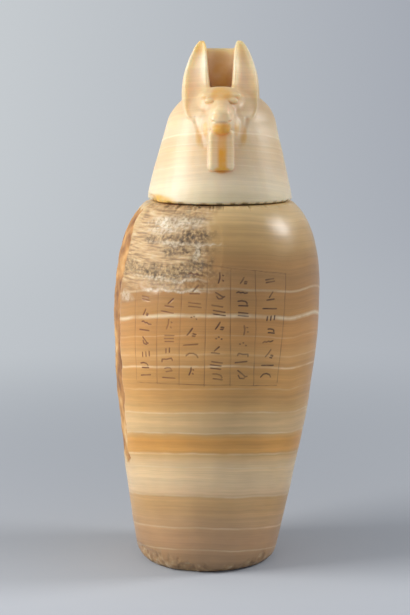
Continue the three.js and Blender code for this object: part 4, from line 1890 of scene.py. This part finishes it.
        def level(x: Array, y: Array, z: Array) -> Array:
            """Level of the space in front of the ear.

            Args:
                x: Places across.
                y: Places front to back.
                z: Heights.

            Returns:
                Its level at each place.
            """
            centre, half, near = (smooth_curve(z, heights, v) for v in (x0, width, front))
            out = np.clip((side * x - centre) / np.maximum(half, THINNEST), -1.3, 1.3)
            broad = np.clip(half / 8, 0.1, 1)
            fall = 4.6 * broad * np.clip((out + 0.9) / 1.9, 0, 1) ** 1.6
            dish = self.ear_hollow * broad * np.clip(1 - (np.abs(out) / 0.86) ** 2.2, 0, 1)
            return y - (near + fall + dish)

        return level

    def cut_pocket(self, stone: Lattice) -> None:
        """Cuts the pocket between the ears, open at the top and closed by a wall at the back.

        Args:
            stone: The lid.
        """

        def pocket(x: Array, y: Array, z: Array) -> Array:
            """Distance outside the pocket.

            Args:
                x: Places across.
                y: Places front to back.
                z: Heights.

            Returns:
                The distances, negative inside.
            """
            side = self.pocket_half + (z - self.pocket_floor) / self.pocket_height * self.pocket_flare
            across = np.maximum(np.abs(x) - side, self.pocket_floor - z)
            return np.maximum(across, np.maximum(self.pocket_front - y, y - self.pocket_back))

        stone.carve(self.shifted(pocket), (-16, -22, 79), (17, 6, 125), 0.8)

    def cut_lines(self, stone: Lattice) -> None:
        """Cuts the mouth line and the wig's edge beside the throat.

        Args:
            stone: The lid.
        """
        mouth = [
            (-9.4, -49, 63.4), (-7.6, -55.6, 61.6), (-4.4, -60, 60.4), (0, -61.4, 60.0),
            (4.4, -60, 60.4), (7.6, -55.6, 61.6), (9.4, -49, 63.4),
        ]
        stone.carve(self.shifted(cord_of(mouth, 0.5)), (-13, -66, 56), (14, -44, 67), 0.9)
        for side in (1, -1):
            edge = [(side * 19.4, -36, 61.5), (side * 16.4, -41, 52), (side * 13.2, -44.4, 43)]
            low = (min(side * 24, side * 8), -50, 38)
            high = (max(side * 24, side * 8) + 1, -28, 66)
            stone.carve(self.shifted(cord_of(edge, 0.7)), low, high, 2.4)

    def chip_edge(self, stone: Lattice) -> None:
        """Breaks the lid's lower edge: one long chip at the left, and small nicks all round.

        Args:
            stone: The lid.
        """
        dice = np.random.default_rng(self.seed)
        nicks = [(math.radians(self.chip[0]), *self.chip[1])]
        for turn in dice.uniform(-math.pi, math.pi, self.nick_count):
            nicks.append((turn, *dice.uniform(*self.nick_sizes)))
        nicks += [(math.radians(a), *size) for a, size in self.front_nicks]
        for turn, along, tall, deep in nicks:
            c, s = math.cos(turn), math.sin(turn)
            reach = max(along, tall, deep) + 3
            centre = (self.skirt_radius * s, -self.skirt_radius * c)
            dent = ellipsoid((0, 0, 0), (along, deep, tall))

            def nick(x: Array, y: Array, z: Array) -> Array:
                """Distance outside one nick."""
                u, v = x - centre[0], y - centre[1]
                return dent(u * c + v * s, v * c - u * s, z)

            low = (centre[0] - reach, centre[1] - reach, -reach)
            high = (centre[0] + reach, centre[1] + reach, reach)
            stone.carve(nick, low, high, 0.6)

    def stain_and_shade_masks(self, p: Array) -> tuple[Array, Array]:
        """Where iron has stained the lid orange, with painted shade in some creases; and where painted shade
        and a darker lower edge lie.

        Args:
            p: Corners of the skin about the lid's axis.

        Returns:
            The stain with its painted shade, and the painted shade with the darker lower edge, 0 to 1.
        """
        x, y, z = (p - [self.head_x, 0, 0]).T

        def near(at: tuple, half: tuple) -> Array:
            """1 at a place, falling to 0 at the half sizes round it."""
            away = sum(((q - c) / h) ** 2 for q, c, h in zip((x, y, z), at, half))
            return soft_step(1.0, 0.2, away)

        def pair(at: tuple, half: tuple) -> Array:
            """The same on both sides of the head."""
            return np.maximum(near(at, half), near((-at[0], *at[1:]), half))

        front = soft_step(-38, -42, y)
        stripe = soft_step(4.6, 1.6, np.abs(x - 0.8)) * soft_step(23, 27, z) * soft_step(58, 50, z) * front
        # painted shade under the strut, where it meets the wig
        below = near((0.6, -51, 25.5), (7, 10, 3.6))
        forehead = near((0.4, -33, 80), (9.5, 15, 9)) * 0.62
        jaw = near((0.4, -58, 54.5), (9, 10, 7.6)) * soft_step(61.5, 58, z)
        # painted shade under the chin
        under_chin = near((0.6, -57, 51.6), (6.5, 6, 2.6))
        # painted shade in the creases beside the cheeks and along the wig's edges beside the throat
        cheeks = pair((12.2, -46, 55), (3.0, 7, 8)) * 0.5
        wig_folds = pair((16.6, -42, 51), (3.4, 8, 10)) * 0.5
        chip = near((-48, -28, 1), (26, 26, 6)) * 0.9
        # painted shade on the pocket's back wall
        back_wall = near((0, 3, 92), (12, 3, 26)) * 0.75
        tips = near((-15, -5, 116), (7, 8, 8)) * 0.5
        stain = np.maximum.reduce(
            [stripe, below, forehead, jaw, under_chin, cheeks, wig_folds, chip, back_wall, tips]
        )
        broken = wander((np.arctan2(x, -y) * self.skirt_radius,), 8, 41)
        joint = soft_step(2.2, 0.4, z) * soft_step(-0.1, 0.7, broken) * 0.9
        # the darker lower edge, and painted shade in the left ear's lower corner, on the pocket's floor and
        # back wall, along the mouth and on the right of the head
        dark_edge_and_shade_mask = np.maximum.reduce([
            joint,
            near((-20, -38, 64), (2.6, 5, 1.7)) * 0.8,
            near((-20, -39, 59.5), (2.2, 5, 1.6)) * 0.35,
            near((0, 2, 83.5), (9, 9, 3.4)) * 0.5,
            near((0, 3, 96), (13, 3, 24)) * 0.22,
            near((0, -60.4, 60.0), (7, 3, 0.9)) * 0.35,
            near((34, -12, 72), (16, 34, 20)) * 0.22,
        ])
        return stain, dark_edge_and_shade_mask

    def build(self, stone: bpy.types.Material, rest_z: float) -> bpy.types.Object:
        """Makes the lid's closed skin in its place on the jar.

        Args:
            stone: The lid's material.
            rest_z: Height of the lid's underside.

        Returns:
            The finished object.
        """
        carved = self.carve()
        points, faces = carved.skin()
        normals = carved.slope(points)
        # painted shade in the folds: the less open space lies round a corner, the more it is darkened
        open_share = sum(carved.at(points + normals * reach) / reach for reach in self.crease_reach)
        open_share = open_share / len(self.crease_reach)
        crease = soft_step(0.82, 0.35, open_share) * soft_step(-1, 3, points[:, 2])
        stain, dark_edge_and_shade_mask = self.stain_and_shade_masks(points)
        uneven = 0.14 * wander(tuple(points.T), 24, 31) + 0.05 * wander(tuple(points.T), 7, 32)
        shown = soft_step(0.5, 4, points[:, 2])
        points = points - normals * (uneven * shown)[:, None]
        head = mesh_object("lid_head", points + [self.x, 0, rest_z], faces.tolist())
        for kind, mask in ((Stone.CREASE, crease), (Stone.STAIN, stain), (Stone.GRIME, dark_edge_and_shade_mask)):
            set_values(head, kind.value, mask)
        head.data.materials.append(stone)
        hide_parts("lid")
        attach(head, "root")
        return head


def smooth_curve(at: Array, places: Array, values: Array) -> Array:
    """Reads a smooth curve through (place, value) pairs; past its ends it keeps their value.

    Args:
        at: Where it is read.
        places: Rising places.
        values: The value at each.

    Returns:
        The curve's values.
    """
    slopes = np.gradient(values, places)
    at = np.clip(at, places[0], places[-1])
    i = np.clip(np.searchsorted(places, at) - 1, 0, len(places) - 2)
    span = places[i + 1] - places[i]
    t = (at - places[i]) / span
    return (
        (2 * t**3 - 3 * t**2 + 1) * values[i]
        + (t**3 - 2 * t**2 + t) * span * slopes[i]
        + (3 * t**2 - 2 * t**3) * values[i + 1]
        + (t**3 - t**2) * span * slopes[i + 1]
    )


def spaced(places: Sequence[float], spacing: Sequence[float]) -> Array:
    """Rising places whose spacing changes along the way.

    Args:
        places: Where the spacing is given, rising.
        spacing: The spacing at each.

    Returns:
        The places, from the first to the last.
    """
    fine = np.linspace(places[0], places[-1], 4000)
    gap = np.interp(fine, places, spacing)
    step = np.concatenate([[0], np.cumsum(np.diff(fine) / ((gap[1:] + gap[:-1]) / 2))])
    return np.interp(np.linspace(0, step[-1], int(step[-1]) + 1), step, fine)


# ---------------------------------------------------------------- studio


@dataclass(frozen=True)
class Softbox:
    """A soft light: where it stands by azimuth and elevation from the object, and how bright."""

    name: str
    azimuth: float
    elevation: float
    distance: float
    size: tuple
    power: float
    colour: str


@dataclass
class Studio:
    """A pale floor that rises far away, two softboxes, dim light from all round, and the camera."""

    target: tuple = (0.0, 0.0, 0.2)
    camera_at: tuple = (-0.0087, -1.206, 0.369)
    camera_tilt: float = 8.15
    lens: float = 92.195
    surround: str = "#d2d6dc"
    surround_strength: float = 0.4
    floor_columns: int = 64
    flat_radii: tuple = (0.3, 0.8, 1.6, 2.4)
    bend_radius: float = 1.2
    paper_height: float = 3.2
    boxes: tuple = (
        Softbox("key_left", -76, 26, 1.4, (0.7, 0.9), 19.0, "#fffaf3"),
        Softbox("fill_right", 94, 33, 1.4, (0.4, 0.45), 9.0, "#fffbf7"),
    )

    def floor(self) -> bpy.types.Object:
        """A round sheet of paper, flat under the object and bent up far from it.

        Returns:
            The sheet.
        """
        turns = self.floor_columns
        flat, bend = self.flat_radii[-1], self.bend_radius
        profile = [(r, 0.0) for r in self.flat_radii]
        for a in np.linspace(0.15, math.pi / 2, 9):
            profile.append((flat + bend * math.sin(a), bend - bend * math.cos(a)))
        profile.append((flat + bend, self.paper_height))
        points = [(0.0, 0.0, 0.0)]
        for r, z in profile:
            for a in np.linspace(0, 2 * math.pi, turns, endpoint=False):
                points.append((r * math.sin(a), -r * math.cos(a), z))
        faces = [(0, 1 + i, 1 + (i + 1) % turns) for i in range(turns)]
        for row in range(len(profile) - 1):
            a = 1 + row * turns
            for i in range(turns):
                j = (i + 1) % turns
                faces.append((a + i, a + turns + i, a + turns + j, a + j))
        return mesh_object("studio_floor", np.array(points) / MM, faces)

    def build(self, paper: bpy.types.Material) -> None:
        """Sets up the floor, the lights and the camera.

        Args:
            paper: The floor's material.
        """
        floor = self.floor()
        floor.data.materials.append(paper)
        for box in self.boxes:
            light = bpy.data.lights.new(box.name, "AREA")
            light.shape = "RECTANGLE"
            light.size, light.size_y = box.size
            light.energy = box.power
            light.color = linear(box.colour)[:3]
            lamp = bpy.data.objects.new(box.name, light)
            a, e = math.radians(box.azimuth), math.radians(box.elevation)
            way = Vector((math.sin(a) * math.cos(e), -math.cos(a) * math.cos(e), math.sin(e)))
            lamp.location = Vector(self.target) + way * box.distance
            lamp.rotation_euler = way.to_track_quat("Z", "Y").to_euler()
            bpy.context.scene.collection.objects.link(lamp)
        world = bpy.data.worlds.new("studio")
        world.use_nodes = True
        sky = world.node_tree.nodes["Background"]
        sky.inputs[0].default_value = linear(self.surround)
        sky.inputs[1].default_value = self.surround_strength
        scene = bpy.context.scene
        scene.world = world
        scene.view_settings.view_transform = "Standard"
        data = bpy.data.cameras.new("camera")
        data.lens = self.lens
        data.sensor_width = 36
        data.sensor_fit = "AUTO"
        camera = bpy.data.objects.new("camera", data)
        camera.location = self.camera_at
        camera.rotation_euler = (math.radians(90 - self.camera_tilt), 0, 0)
        scene.collection.objects.link(camera)
        scene.camera = camera


def main() -> None:
    """Builds the jar, the lid and the studio, and notes the sizes."""
    logging.basicConfig(level=logging.INFO, format="%(name)s: %(message)s")
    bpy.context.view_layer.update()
    Studio().build(StudioPaper().make())
    LOG.info("studio ready")
    jar = Jar()
    body = jar.build(JarCalcite().make())
    LOG.info("jar_body: %d faces", len(body.data.polygons))
    head = Lid().build(LidCalcite().make(), jar.height + REST_GAP)
    LOG.info("lid_head: %d faces", len(head.data.polygons))


if __name__ == "__main__":
    main()
